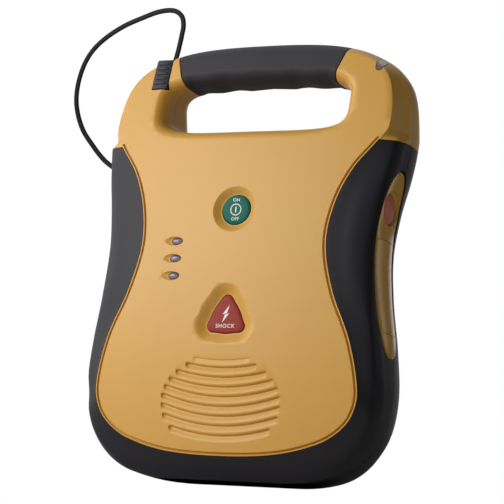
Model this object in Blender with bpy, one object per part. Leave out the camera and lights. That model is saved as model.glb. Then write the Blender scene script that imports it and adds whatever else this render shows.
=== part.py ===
"""Portable automated external defibrillator, modelled as the pieces that it comes apart into.

Metres, +Z up. The front panel faces -Y and the battery pack slides out along +X.
The origin is on the surface that the base stands on, under the middle of the body.
"""

import math

import bmesh
import bpy
from mathutils import Matrix, Vector
from mathutils.geometry import interpolate_bezier

# Body outline, seen from the front
BODY_HEIGHT = 0.300
BASE_WIDTH = 0.216
BASE_HEIGHT = 0.060
WAIST_WIDTH = 0.196
WAIST_HEIGHT = 0.155
SHOULDER_WIDTH = 0.2145
SHOULDER_DROP = 0.064
SHOULDER_HEIGHT = BODY_HEIGHT - SHOULDER_DROP
FOOT_WIDTH = 0.076
CORNER_POWER = 2.3
TOP_POWER = 3.0

# Front panel outline inside the black surround
PANEL_BASE_WIDTH = 0.1886
PANEL_WAIST_WIDTH = 0.134
PANEL_WAIST_HEIGHT = 0.157
PANEL_SILL = 0.0152
PANEL_NECK_RADIUS = 0.100
PANEL_CORNER_POWER = 2.45
EDGE_ROUND = 0.0095

# Depth of the body and how far its front and rear curve away
BODY_DEPTH = 0.069
CROWN_ACROSS = 0.0042
CROWN_ACROSS_REACH = 0.090
CROWN_UP = 0.0097
CROWN_UP_REACH = 0.37 * BODY_HEIGHT
CROWN_HEIGHT = 0.40 * BODY_HEIGHT
REAR_BREAK_DROP = 0.088
REAR_BREAK = BODY_HEIGHT - REAR_BREAK_DROP
REAR_LEAN = 0.016
CREASE_INSET = 0.007
CREASE_DEPTH_SHARE = 0.07
REAR_EDGE_INSET = 0.0145
# Rings of the side, front to rear: share of the rear edge's inset, depth share, depth share at the foot
SIDE_RINGS = ((0.0, 0.24, 0.16), (0.0, 0.62, 0.80), (0.3, 0.82, 0.90), (0.8, 0.975, 0.975), (1.0, 1.0, 1.0))

# Walls and running gaps
CASE_WALL = 0.0026
BUMPER_WALL = 0.0024
BUMPER_FIT = 0.0010
BUMPER_DROP = 0.074
BUMPER_TOP = BODY_HEIGHT - BUMPER_DROP
REAR_BAND = 0.017
GRIP_WALL = 0.003
GAP = 0.0004
PARTING_GAP = 0.0010
GASKET_THICK = 0.0004

# Handle opening and grip
HANDLE_THICK = 0.0270
HOLE_RISE = 0.0365
HOLE_TOP = BODY_HEIGHT - HANDLE_THICK
HOLE_BOTTOM = HOLE_TOP - HOLE_RISE
HOLE_WIDTH = 0.134
HOLE_POWER = 4.6
HOLE_ROUND = 0.009
HOLE_ROUND_DEPTH = 0.014
GRIP_TOP_WIDTH = 0.136
GRIP_BOTTOM_WIDTH = 0.100
FINGER_PITCH = 0.026
FINGER_DEPTH = 0.0005

# Front buttons
ON_OFF_HEIGHT = 0.1786
ON_OFF_RADIUS = 0.0102
ON_OFF_DISH_RADIUS = 0.0155
ON_OFF_DISH_DEPTH = 0.0035
SHOCK_HEIGHT = 0.1064
SHOCK_WIDTH = 0.0268
SHOCK_RISE = 0.0256
SHOCK_POINT_SHARE = 0.56
SHOCK_CORNER = 0.0042
SHOCK_BULGE = 0.0008
SHOCK_DISH_MARGIN = 0.007
SHOCK_DISH_DEPTH = 0.0042
BUTTON_PROUD = 0.0012
BUTTON_TRAVEL = 0.0015
BUTTON_SEAT = 0.0020
FLANGE_MARGIN = 0.0016
FLANGE_THICK = 0.0012
STEM_RADIUS = 0.003
DOME_RADIUS = 0.0065
DOME_WALL = 0.0010
DOME_SOLID = 0.0010

# Indicator lamps beside the buttons
LAMP_X = -0.0404
LAMP_HEIGHT = 0.1450
LAMP_PITCH = 0.01185
LAMP_HEIGHTS = (LAMP_HEIGHT + LAMP_PITCH, LAMP_HEIGHT, LAMP_HEIGHT - LAMP_PITCH)
LAMP_WIDTH = 0.0076
LAMP_RISE = 0.0042
LAMP_DISH_MARGIN = 0.0028
LAMP_DISH_DEPTH = 0.0013
LAMP_FLANGE = 0.0012
LAMP_SEAT = 0.0034

# Status lamp on the right shoulder
STATUS_X = 0.0875
STATUS_WIDTH = 0.0046
STATUS_DROP = 0.0235
STATUS_HEIGHT = BODY_HEIGHT - STATUS_DROP
STATUS_BACK = -0.0012
STATUS_THICK = 0.001

# Loudspeaker and its grille
GRILLE_HEIGHT = 0.051
GRILLE_WIDTH = 0.087
GRILLE_RISE = 0.053
SLOT_COUNT = 8
SLOT_PITCH = 0.0063
SLOT_RISE = 0.0028
SLOT_BEND_RADIUS = 0.120
SLOT_DEPTH = 0.0017
SLOT_STEPS = 6
SOUND_HOLE_RADIUS = 0.0011
SOUND_HOLE_PITCH = 0.0075
SPEAKER_RADIUS = 0.0225
SPEAKER_DEPTH = 0.012
SPEAKER_SEAT = 0.003
SPEAKER_SCREEN = 0.0005
SPEAKER_CLEAR = 0.0024
CONE_THICK = 0.001
MAGNET_RADIUS = 0.013
MAGNET_DEPTH = 0.006

# Battery bay in the right side and the pack in it
BAY_HEIGHT = 0.146
BAY_RISE = 0.124
BAY_WIDTH = 0.031
BAY_POWER = 2.6
BAY_SINK = 0.0006
BAY_PLATE = 0.014
BAY_RIM = 0.0018
BAY_WALL = 0.0015
PACK_BELOW = 0.0465
PACK_ABOVE = 0.015
PACK_BOTTOM = BAY_HEIGHT - PACK_BELOW
PACK_TOP = BAY_HEIGHT + PACK_ABOVE
PACK_LENGTH = 0.090
PACK_WALL = 0.0016
PACK_CORNER = 0.003
PACK_STEPS = 5
CONTACT_THICK = 0.003
CONTACT_REACH = 0.0024
CELL_RADIUS = 0.0085
CELL_LENGTH = 0.0345
CELL_ROWS = 3
CELL_COLUMNS = 2

# Eject button and battery latch
EJECT_ABOVE = 0.037
EJECT_HEIGHT = BAY_HEIGHT + EJECT_ABOVE
EJECT_RADIUS = 0.0105
EJECT_DISH_RADIUS = 0.0130
EJECT_DISH_DEPTH = 0.0040
EJECT_PROUD = 0.0024
EJECT_TRAVEL = 0.003
EJECT_FLANGE_MARGIN = 0.0014
EJECT_FLANGE_THICK = 0.0016
EJECT_FINGER_WIDTH = 0.006
HOUSING_WALL = 0.0013
HOUSING_DEPTH = 0.014
SPRING_RADIUS = 0.0082
SPRING_WIRE = 0.0009
SPRING_TURNS = 4
LATCH_THICK = 0.0008
LATCH_WIDTH = 0.010
LATCH_LENGTH = 0.044
LATCH_HOOK_SETBACK = 0.012
LATCH_HOOK_LENGTH = 0.003
LATCH_NOTCH = 0.0024

# Electrode connector in the left shoulder
PLUG_X = -0.0735
PLUG_WIDTH = 0.0118
PLUG_DROP = 0.0085
PLUG_RISE = 0.0225
PLUG_TOP = BODY_HEIGHT - PLUG_DROP
PLUG_BOTTOM = PLUG_TOP - PLUG_RISE
PLUG_BACK = 0.0145
PLUG_PROUD = 0.0010
PLUG_CORNER = 0.0012
NOTCH_GAP = 0.0006
SOCKET_WIDTH = 0.0060
SOCKET_DEPTH = 0.022
SOCKET_REACH = 0.014
PIN_RADIUS = 0.0014
PIN_LENGTH = 0.010
PIN_SPACING = 0.011
RIB_COUNT = 5
RIB_PITCH = 0.0036
RIB_GROOVE = 0.0012
RIB_DEPTH = 0.0008

# Electrode cable
CABLE_DIAMETER = 0.0036
CABLE_EXIT_Y = 0.006
CABLE_STEP = 0.008
CABLE_ROUND_STEPS = 2
ROUTE_STEPS = 12
RELIEF_HEIGHT = 0.004
RELIEF_RADIUS = 0.0034
CHANNEL_HEIGHT = BAY_HEIGHT + BAY_RISE / 2
CHANNEL_WIDTH = 0.0054
CHANNEL_FLOOR_Y = 0.0285
CABLE_SPLIT_X = -0.083
TAIL_DROP = 0.032
TAIL_ENTRY_HEIGHT = CHANNEL_HEIGHT - TAIL_DROP
TAIL_INSIDE = 0.008

# Pads pouch and its holder on the back
POCKET_LEFT = -0.0770
POCKET_BOTTOM = 0.040
POCKET_FLOOR_Y = 0.0246
LIP_TOP = 0.084
LIP_THICK = 0.0026
POUCH_GAP = 0.0008
POUCH_WIDTH = 0.1360
POUCH_RISE = 0.186
POUCH_CORNER = 0.012
POUCH_THICK = 0.006
POUCH_FILM = 0.0008
POUCH_SEAL = 0.0032
PAD_WIDTH = 0.108
PAD_RISE = 0.072
PAD_THICK = 0.0016
PAD_CORNER = 0.016
PAD_PLACES = (0.27, 0.73)

# Screws through the rear case into the front case
SCREW_RADIUS = 0.0019
SCREW_HEAD_RADIUS = 0.0034
SCREW_HEAD_DEPTH = 0.0028
SCREW_SINK = 0.0010
SCREW_GRIP = 0.010
PILLAR_RADIUS = 0.0048
SCREW_LOW_X = 0.078
SCREW_LOW_HEIGHT = 0.030
SCREW_HIGH_X = 0.088
SCREW_BAY_CLEAR = 0.030
SCREW_HIGH_HEIGHT = BAY_HEIGHT + BAY_RISE / 2 + SCREW_BAY_CLEAR
SCREW_MIDDLE_X = 0.056
SCREW_PACK_CLEAR = 0.009
SCREW_MIDDLE_HEIGHT = PACK_BOTTOM - SCREW_PACK_CLEAR
SCREW_PLACES = (
    (SCREW_LOW_X, SCREW_LOW_HEIGHT),
    (-SCREW_LOW_X, SCREW_LOW_HEIGHT),
    (SCREW_HIGH_X, SCREW_HIGH_HEIGHT),
    (-SCREW_HIGH_X, SCREW_HIGH_HEIGHT),
    (SCREW_MIDDLE_X, SCREW_MIDDLE_HEIGHT),
    (-SCREW_MIDDLE_X, SCREW_MIDDLE_HEIGHT),
)

# Boards and what stands on them
BOARD_THICK = 0.0016
BOARD_GAP = 0.0005
BOARD_POST_RADIUS = 0.003
MAIN_BOARD_WIDTH = 0.096
MAIN_BOARD_BOTTOM = 0.098
MAIN_BOARD_TOP = 0.190
POWER_BOARD_WIDTH = 0.132
POWER_BOARD_BOTTOM = 0.026
POWER_BOARD_CLEAR = 0.0065
POWER_BOARD_TOP = SCREW_MIDDLE_HEIGHT - POWER_BOARD_CLEAR
POWER_BOARD_STANDOFF = 0.006
CAPACITOR_X = -0.052
CAPACITOR_RADIUS = 0.017
CAPACITOR_CLEAR = 0.0155
CAPACITOR_LENGTH = 0.078
CAPACITOR_BOTTOM = SCREW_MIDDLE_HEIGHT + CAPACITOR_CLEAR
CAPACITOR_TOP = CAPACITOR_BOTTOM + CAPACITOR_LENGTH
CLAMP_RISE = 0.022
CLAMP_WALL = 0.002
TRANSFORMER_WIDTH = 0.030
TRANSFORMER_DEPTH = 0.015
TRANSFORMER_RISE = 0.026
TRANSFORMER_X = 0.046
RELAY_WIDTH = 0.020
RELAY_DEPTH = 0.012
RELAY_RISE = 0.016
RELAY_X = -0.052
COIL_RADIUS = 0.0065
COIL_LENGTH = 0.030

# Where the outlines are drawn through: angles round their corners, shares of the height between them
PANEL_CORNER_DEGREES = (20, 42, 58, 74)
FOOT_CORNER_DEGREES = (24, 46, 67)
FLANK_SHARES = (0, 0.34, 0.67)
WAIST_SHARES = (0, 0.34, 0.63, 0.86)
TOP_DEGREES = (0, 17, 34, 50, 66, 79)

# Fineness of curved outlines, outside and on hidden faces
STEPS_PER_SPAN = 2
PANEL_COLUMNS = 6
HIDDEN_STEPS = 1
HIDDEN_COLUMNS = 2
ROUND_SIDES = 24
BUTTON_SIDES = 30
CORNER_STEPS = 6
SIDE_STEPS = 4
HOLE_SIDES = 40
SMALL_SIDES = 12
SHARP_DEGREES = 35
MERGE = 1e-7
FAR = 0.5

# Cable loop from the plug to the channel: shares of the reach to the left, of the way back and of the height
CABLE_LOOP_REACH = 0.090
CABLE_ROUTE = (
    (-0.016, 0.00, 1.140),
    (-0.034, 0.00, 1.272),
    (-0.039, 0.01, 1.359),
    (-0.012, 0.04, 1.444),
    (0.068, 0.09, 1.501),
    (0.198, 0.13, 1.504),
    (0.340, 0.22, 1.473),
    (0.559, 0.36, 1.405),
    (0.758, 0.49, 1.293),
    (0.884, 0.62, 1.168),
    (0.972, 0.80, 0.984),
    (1.000, 0.98, 0.781),
    (0.952, 1.16, 0.575),
    (0.852, 1.29, 0.418),
    (0.751, 1.38, 0.296),
    (0.649, 1.42, 0.217),
    (0.517, 1.41, 0.120),
    (0.383, 1.33, 0.044),
)


def ease(u):
    """0 to 1 with level ends."""
    return (1 - math.cos(math.pi * min(1.0, max(0.0, u)))) / 2


def front_y(x, z):
    """Depth of the crowned front surface."""
    across = CROWN_ACROSS * (x / CROWN_ACROSS_REACH) ** 2
    up = CROWN_UP * ((z - CROWN_HEIGHT) / CROWN_UP_REACH) ** 2
    return -BODY_DEPTH / 2 + across + up


def rear_y(z):
    """Depth of the rear surface, which leans forward towards the handle."""
    lean_end = BODY_HEIGHT + EDGE_ROUND
    return BODY_DEPTH / 2 - REAR_LEAN * ease((z - REAR_BREAK) / (lean_end - REAR_BREAK))


def half_width(z):
    """Half the body's width between its widest place low down and its shoulders."""
    base, waist, shoulder = BASE_WIDTH / 2, WAIST_WIDTH / 2, SHOULDER_WIDTH / 2
    if z < WAIST_HEIGHT:
        return base + (waist - base) * ease((z - BASE_HEIGHT) / (WAIST_HEIGHT - BASE_HEIGHT))
    return waist + (shoulder - waist) * ease((z - WAIST_HEIGHT) / (SHOULDER_HEIGHT - WAIST_HEIGHT))


def panel_half_width(z):
    """Half the front panel's width from its widest place to where it meets the shoulders."""
    base, waist = PANEL_BASE_WIDTH / 2, PANEL_WAIST_WIDTH / 2
    if z < PANEL_WAIST_HEIGHT:
        return base + (waist - base) * ease((z - BASE_HEIGHT) / (PANEL_WAIST_HEIGHT - BASE_HEIGHT))
    rise = min(z - PANEL_WAIST_HEIGHT, PANEL_NECK_RADIUS)
    neck = waist + PANEL_NECK_RADIUS - math.sqrt(PANEL_NECK_RADIUS**2 - rise**2)
    return min(neck, half_width(z) - EDGE_ROUND)


def power_arc(degrees, power):
    """A point of the unit superellipse, as its cosine-like and sine-like parts."""
    angle = math.radians(degrees)
    c, s = math.cos(angle), math.sin(angle)
    return math.copysign(abs(c) ** (2 / power), c), math.copysign(abs(s) ** (2 / power), s)


def body_stations():
    """Right half of the outer outline and of the panel outline, bottom to top, point for point."""
    base, shoulder, foot = BASE_WIDTH / 2, SHOULDER_WIDTH / 2, FOOT_WIDTH / 2
    panel_base = PANEL_BASE_WIDTH / 2
    outer = [(0, 0), (foot, 0)]
    panel = [(0, PANEL_SILL)]
    for degrees in PANEL_CORNER_DEGREES:
        c, s = power_arc(degrees, PANEL_CORNER_POWER)
        panel.append((panel_base * s, BASE_HEIGHT - (BASE_HEIGHT - PANEL_SILL) * c))
    for degrees in FOOT_CORNER_DEGREES:
        c, s = power_arc(degrees, CORNER_POWER)
        outer.append((foot + (base - foot) * s, BASE_HEIGHT - BASE_HEIGHT * c))
    heights = [BASE_HEIGHT + (WAIST_HEIGHT - BASE_HEIGHT) * share for share in FLANK_SHARES]
    heights += [WAIST_HEIGHT + (SHOULDER_HEIGHT - WAIST_HEIGHT) * share for share in WAIST_SHARES]
    for z in heights:
        outer.append((half_width(z), z))
        panel.append((panel_half_width(z), z))
    for degrees in TOP_DEGREES:
        c, s = power_arc(degrees, TOP_POWER)
        rise = BODY_HEIGHT - SHOULDER_HEIGHT
        outer.append((shoulder * c, SHOULDER_HEIGHT + rise * s))
        panel.append(((shoulder - EDGE_ROUND) * c, SHOULDER_HEIGHT + (rise - EDGE_ROUND) * s))
    outer.append((0, BODY_HEIGHT))
    panel.append((0, BODY_HEIGHT - EDGE_ROUND))
    return outer, panel


def curve_through(points, level, steps):
    """A smooth curve through 2-D points. The points whose numbers are in level get a level tangent."""
    points = [Vector(p) for p in points]
    last = len(points) - 1
    tangents = []
    for i in range(last + 1):
        along = points[min(i + 1, last)] - points[max(i - 1, 0)]
        if i in level:
            along = Vector((along.x, 0.0))
        tangents.append(along.normalized())
    curve = [points[0]]
    for i in range(last):
        a, b = points[i], points[i + 1]
        chord = (b - a).length
        for k in range(1, steps + 1):
            u = k / steps
            start = a * (2 * u**3 - 3 * u**2 + 1) + tangents[i] * chord * (u**3 - 2 * u**2 + u)
            end = b * (3 * u**2 - 2 * u**3) + tangents[i + 1] * chord * (u**3 - u**2)
            curve.append(start + end)
    return curve


def closed_loop(half):
    """The right half of an outline and its mirror image, as one closed loop."""
    return [Vector(p) for p in half] + [Vector((-p.x, p.y)) for p in reversed(half[1:-1])]


def grown(loop, distance):
    """A closed 2-D loop moved outwards by a distance (inwards where it is negative)."""
    count = len(loop)
    area = sum(loop[i - 1].cross(loop[i]) for i in range(count))
    side = math.copysign(1.0, area)
    moved = []
    for i, point in enumerate(loop):
        before = (point - loop[i - 1]).normalized()
        after = (loop[(i + 1) % count] - point).normalized()
        along = (before + after).normalized()
        reach = max(0.5, math.sqrt(max(0.0, (1 + before.dot(after)) / 2)))
        moved.append(point + Vector((along.y, -along.x)) * side * distance / reach)
    return moved


def ellipse(centre, across, up, sides, power=2.0):
    """A closed loop with half sizes across and up."""
    loop = []
    for i in range(sides):
        c, s = power_arc(360 * i / sides, power)
        loop.append(Vector((centre[0] + across * c, centre[1] + up * s)))
    return loop


def rounded_rectangle(low, high, radius, steps=3):
    """A closed loop round a rectangle from its low corner to its high corner."""
    loop = []
    corners = ((high[0], low[1]), (high[0], high[1]), (low[0], high[1]), (low[0], low[1]))
    for start, (x, y) in zip((-90, 0, 90, 180), corners):
        cx = x - math.copysign(radius, x - (low[0] + high[0]) / 2)
        cy = y - math.copysign(radius, y - (low[1] + high[1]) / 2)
        for k in range(steps + 1):
            angle = math.radians(start + 90 * k / steps)
            loop.append(Vector((cx + radius * math.cos(angle), cy + radius * math.sin(angle))))
    return loop


def new_object(name, bm):
    """A linked object from a closed bmesh, with its faces pointing out."""
    bmesh.ops.recalc_face_normals(bm, faces=bm.faces)
    mesh = bpy.data.meshes.new(name)
    bm.to_mesh(mesh)
    bm.free()
    obj = bpy.data.objects.new(name, mesh)
    bpy.context.scene.collection.objects.link(obj)
    return obj


def loft(name, rings):
    """A closed solid through rings of 3-D points, with a flat cap on its first and last ring."""
    bm = bmesh.new()
    rows = [[bm.verts.new(p) for p in ring] for ring in rings]
    count = len(rings[0])
    for near, far in zip(rows, rows[1:]):
        for i in range(count):
            j = (i + 1) % count
            bm.faces.new((near[i], near[j], far[j], far[i]))
    bm.faces.new(reversed(rows[0]))
    bm.faces.new(rows[-1])
    return new_object(name, bm)


def placed(loop, axis, depth):
    """A 2-D loop as 3-D points at one depth along an axis; the loop is in the other two, in X, Y, Z order."""
    if axis == "y":
        return [Vector((p.x, depth, p.y)) for p in loop]
    if axis == "x":
        return [Vector((depth, p.x, p.y)) for p in loop]
    return [Vector((p.x, p.y, depth)) for p in loop]


def prism(name, loop, axis, low, high):
    return loft(name, [placed(loop, axis, low), placed(loop, axis, high)])


def turned(name, axis, centre, profile, sides=ROUND_SIDES):
    """A round solid: profile lists (radius, depth along the axis)."""
    return loft(name, [placed(ellipse(centre, r, r, sides), axis, depth) for r, depth in profile])


def box(name, low, high):
    bm = bmesh.new()
    size = [b - a for a, b in zip(low, high)]
    middle = [(a + b) / 2 for a, b in zip(low, high)]
    place = Matrix.Translation(middle) @ Matrix.Diagonal((*size, 1.0))
    bmesh.ops.create_cube(bm, size=1.0, matrix=place)
    return new_object(name, bm)


def combine(target, operation, tool, keep_tool=False):
    """Add, cut or intersect the target with a tool, and drop the tool unless it is kept."""
    modifier = target.modifiers.new(operation.title(), "BOOLEAN")
    modifier.operation = operation
    modifier.solver = "EXACT"
    modifier.object = tool
    graph = bpy.context.evaluated_depsgraph_get()
    mesh = bpy.data.meshes.new_from_object(target.evaluated_get(graph))
    target.modifiers.remove(modifier)
    target.data = mesh
    if not keep_tool:
        bpy.data.objects.remove(tool)
    return target


def cut(target, tool, keep_tool=False):
    return combine(target, "DIFFERENCE", tool, keep_tool)


def add(target, tool, keep_tool=False):
    return combine(target, "UNION", tool, keep_tool)


def common(target, tool, keep_tool=False):
    return combine(target, "INTERSECT", tool, keep_tool)


def copy_of(obj, name):
    twin = bpy.data.objects.new(name, obj.data.copy())
    bpy.context.scene.collection.objects.link(twin)
    return twin


def material(name, colour, roughness, metallic=0.0):
    made = bpy.data.materials.get(name)
    if made is None:
        made = bpy.data.materials.new(name)
        made.use_nodes = True
        shader = made.node_tree.nodes["Principled BSDF"]
        shader.inputs["Base Color"].default_value = (*colour, 1.0)
        shader.inputs["Roughness"].default_value = roughness
        shader.inputs["Metallic"].default_value = metallic
    return made


PLASTICS = {
    "yellow": ((0.62, 0.40, 0.11), 0.45),
    "black": ((0.022, 0.022, 0.026), 0.55),
    "rubber": ((0.030, 0.030, 0.034), 0.75),
    "green": ((0.015, 0.17, 0.14), 0.35),
    "red": ((0.42, 0.045, 0.045), 0.35),
    "lens": ((0.62, 0.62, 0.68), 0.15),
    "grey": ((0.27, 0.27, 0.29), 0.55),
    "silicone": ((0.35, 0.35, 0.36), 0.65),
    "board": ((0.02, 0.13, 0.05), 0.50),
    "film": ((0.60, 0.61, 0.62), 0.40),
    "gel": ((0.75, 0.73, 0.66), 0.60),
}
METALS = {
    "steel": ((0.55, 0.55, 0.56), 0.35),
    "brass": ((0.62, 0.46, 0.19), 0.30),
    "copper": ((0.60, 0.30, 0.16), 0.40),
    "ferrite": ((0.06, 0.06, 0.065), 0.60),
    "can": ((0.50, 0.50, 0.52), 0.40),
}


def finish(obj, name, finish_name, origin=None):
    """Name a piece, clean its mesh, put its origin in place and give it its own material."""
    obj.name = name
    obj.data.name = name
    bm = bmesh.new()
    bm.from_mesh(obj.data)
    bmesh.ops.remove_doubles(bm, verts=bm.verts, dist=MERGE)
    bmesh.ops.dissolve_degenerate(bm, edges=bm.edges, dist=MERGE)
    bm.to_mesh(obj.data)
    bm.free()
    if origin is not None:
        obj.data.transform(Matrix.Translation(-Vector(origin)))
        obj.location = origin
    obj.data.shade_smooth()
    obj.data.set_sharp_from_angle(angle=math.radians(SHARP_DEGREES))
    metallic = 1.0 if finish_name in METALS else 0.0
    colour, roughness = METALS[finish_name] if metallic else PLASTICS[finish_name]
    obj.data.materials.clear()
    obj.data.materials.append(material(name, colour, roughness, metallic))
    return obj


def body(name, side=0.0, face=0.0, panel_inset=0.0, hidden=False):
    """The whole body as one closed solid, drawn in by side at its edges and by face at front and rear."""
    steps = HIDDEN_STEPS if hidden else STEPS_PER_SPAN
    columns = HIDDEN_COLUMNS if hidden else PANEL_COLUMNS
    outer = grown(outer_loop(steps), -side)
    panel = panel_loop(steps)
    crease = []
    for edge, inner in zip(outer, panel):
        share = min(0.5, CREASE_INSET / (inner - edge).length)
        crease.append(edge.lerp(inner, share))

    def depth(p, middle_share, foot_share):
        near = front_y(p.x, p.y) + face
        far = rear_y(p.y) - face
        low = 1 - ease(p.y / (BASE_HEIGHT / 2))
        return near + (far - near) * (middle_share + (foot_share - middle_share) * low)

    rings = []
    if panel_inset > 0:
        rings.append([Vector((p.x, front_y(p.x, p.y) + face, p.y)) for p in grown(panel, -panel_inset)])
    rings.append([Vector((p.x, front_y(p.x, p.y) + max(side, face), p.y)) for p in panel])
    behind = max(0.0, side - face)
    share = CREASE_DEPTH_SHARE
    rings.append([Vector((p.x, depth(p, share, share) + behind, p.y)) for p in crease])
    for inset_share, share, foot_share in SIDE_RINGS:
        loop = grown(outer, -inset_share * REAR_EDGE_INSET)
        rings.append([Vector((p.x, depth(p, share, foot_share), p.y)) for p in loop])

    bm = bmesh.new()
    rows = [[bm.verts.new(p) for p in ring] for ring in rings]
    count = len(outer)
    for near, far in zip(rows, rows[1:]):
        for i in range(count):
            j = (i + 1) % count
            bm.faces.new((near[i], near[j], far[j], far[i]))
    cover(bm, rows[0], columns, lambda x, z: front_y(x, z) + face)
    cover(bm, rows[-1], columns, lambda x, z: rear_y(z) - face)
    bmesh.ops.triangulate(bm, faces=bm.faces, quad_method="FIXED")
    return new_object(name, bm)


def cover(bm, ring, columns, depth_at):
    """Close a mirrored ring with rows of faces from its left half to its right half."""
    count = len(ring)
    top = count // 2
    first = next(i for i in range(1, top) if ring[i].co.z - ring[0].co.z > GAP)
    rows = []
    for i in range(first, top):
        left, right = ring[count - i], ring[i]
        row = [left]
        for k in range(1, columns):
            x = left.co.x + (right.co.x - left.co.x) * k / columns
            z = right.co.z
            row.append(bm.verts.new((x, depth_at(x, z), z)))
        row.append(right)
        rows.append(row)
    bottom = [ring[i % count] for i in range(count - first + 1, count + first)]
    bm.faces.new(bottom + list(reversed(rows[0])))
    for below, above in zip(rows, rows[1:]):
        for k in range(columns):
            bm.faces.new((below[k], below[k + 1], above[k + 1], above[k]))
    for k in range(columns):
        bm.faces.new((rows[-1][k], rows[-1][k + 1], ring[top]))


def outer_loop(steps=STEPS_PER_SPAN):
    """Outline of the whole body, seen from the front."""
    outer_half = body_stations()[0]
    return closed_loop(curve_through(outer_half, (0, 1, len(outer_half) - 1), steps))


def panel_loop(steps=STEPS_PER_SPAN):
    """Outline of the front panel, where it meets the black surround."""
    panel_half = body_stations()[1]
    return closed_loop(curve_through(panel_half, (0, len(panel_half) - 1), steps))


def rear_loop():
    """Outline of the yellow part of the rear, where it meets the black surround."""
    return grown(outer_loop(), -REAR_BAND)


def handle_hole(name, grow=0.0):
    """The opening under the grip, with rounded front and rear edges, grown by a wall where asked."""
    middle = (HOLE_BOTTOM + HOLE_TOP) / 2
    outline = ellipse((0, middle), HOLE_WIDTH / 2, (HOLE_TOP - HOLE_BOTTOM) / 2, HOLE_SIDES, HOLE_POWER)
    for p in outline:
        if p.y > middle and abs(p.x) < 2 * FINGER_PITCH:
            p.y += FINGER_DEPTH * math.cos(2 * math.pi * p.x / FINGER_PITCH)
    flares = []
    for degrees in (0, 30, 60, 90):
        c, s = power_arc(degrees, 2)
        flares.append((HOLE_ROUND * (1 - s), HOLE_ROUND_DEPTH * (1 - c)))
    rings = []
    outside = grown(outline, grow + HOLE_ROUND)
    rings.append([Vector((p.x, -FAR, p.y)) for p in outside])
    for flare, depth in flares:
        loop = grown(outline, grow + flare)
        rings.append([Vector((p.x, front_y(p.x, p.y) + depth - GAP, p.y)) for p in loop])
    for flare, depth in reversed(flares):
        loop = grown(outline, grow + flare)
        rings.append([Vector((p.x, rear_y(p.y) - depth + GAP, p.y)) for p in loop])
    rings.append([Vector((p.x, FAR, p.y)) for p in outside])
    return loft(name, rings)


def rear_face(x, z):
    """Depth of the outer rear surface, inside the pads pocket or beside it."""
    inside = abs(x) < POUCH_WIDTH / 2 and POCKET_BOTTOM < z < HOLE_BOTTOM
    return POCKET_FLOOR_Y if inside else rear_y(z)


def pocket(name, grow=0.0):
    """The pads holder in the back: an open pocket, a lip over its lower end and a cable recess beside it."""
    half = POUCH_WIDTH / 2 + POUCH_GAP + grow
    floor = POCKET_FLOOR_Y - grow
    bottom = POCKET_BOTTOM - grow
    main = box(name, (-half, floor, LIP_TOP if grow == 0 else bottom), (half, FAR, FAR))
    lip_y = BODY_DEPTH / 2 - LIP_THICK
    add(main, box("under_lip", (-half, floor, bottom), (half, lip_y, LIP_TOP + GAP)))
    low = TAIL_ENTRY_HEIGHT - 2 * CABLE_DIAMETER - grow
    high = CHANNEL_HEIGHT + CHANNEL_WIDTH / 2 + grow
    add(main, box("recess", (POCKET_LEFT - grow, floor + GAP, low), (0, FAR, high)))
    channel_low = CHANNEL_HEIGHT - CHANNEL_WIDTH / 2 - grow
    channel_high = (POCKET_LEFT + GAP, FAR, high - GAP)
    return add(main, box("channel", (-FAR, CHANNEL_FLOOR_Y - grow, channel_low), channel_high))


def plug_notch(name, grow=0.0):
    half = PLUG_WIDTH / 2 + NOTCH_GAP + grow
    low = (PLUG_X - half, -FAR, PLUG_BOTTOM - NOTCH_GAP - grow)
    return box(name, low, (PLUG_X + half, PLUG_BACK + NOTCH_GAP + grow, FAR))


def dish_floor(x, z, depth):
    return front_y(x, z) + depth


def shock_loop(grow=0.0):
    """Rounded triangle of the shock button, point up, with slightly bulging sides."""
    top = SHOCK_HEIGHT + SHOCK_RISE * SHOCK_POINT_SHARE
    base = top - SHOCK_RISE + SHOCK_CORNER + SHOCK_BULGE
    half = SHOCK_WIDTH / 2 - SHOCK_CORNER
    corners = [Vector((half, base)), Vector((0, top - SHOCK_CORNER)), Vector((-half, base))]
    points = []
    for before, corner, after in zip(corners[-1:] + corners, corners, corners[1:] + corners):
        arrive, leave = (corner - before).normalized(), (after - corner).normalized()
        start = math.atan2(-arrive.x, arrive.y)
        turn = math.acos(arrive.dot(leave))
        for k in range(CORNER_STEPS + 1):
            angle = start + turn * k / CORNER_STEPS
            points.append(corner + SHOCK_CORNER * Vector((math.cos(angle), math.sin(angle))))
        out = Vector((leave.y, -leave.x))
        for k in range(1, SIDE_STEPS):
            share = k / SIDE_STEPS
            points.append(corner.lerp(after, share) + out * (SHOCK_CORNER + SHOCK_BULGE * math.sin(math.pi * share)))
    return grown(points, grow)


def on_off_loop(grow=0.0):
    return ellipse((0, ON_OFF_HEIGHT), ON_OFF_RADIUS + grow, ON_OFF_RADIUS + grow, BUTTON_SIDES)


def button_depths(z, dish_depth):
    """Depths of one front button: dish floor, back of its seat and back of its flange."""
    floor = dish_floor(0, z, dish_depth)
    seat = floor + BUTTON_SEAT
    return floor, seat, seat + GAP + FLANGE_THICK


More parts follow.
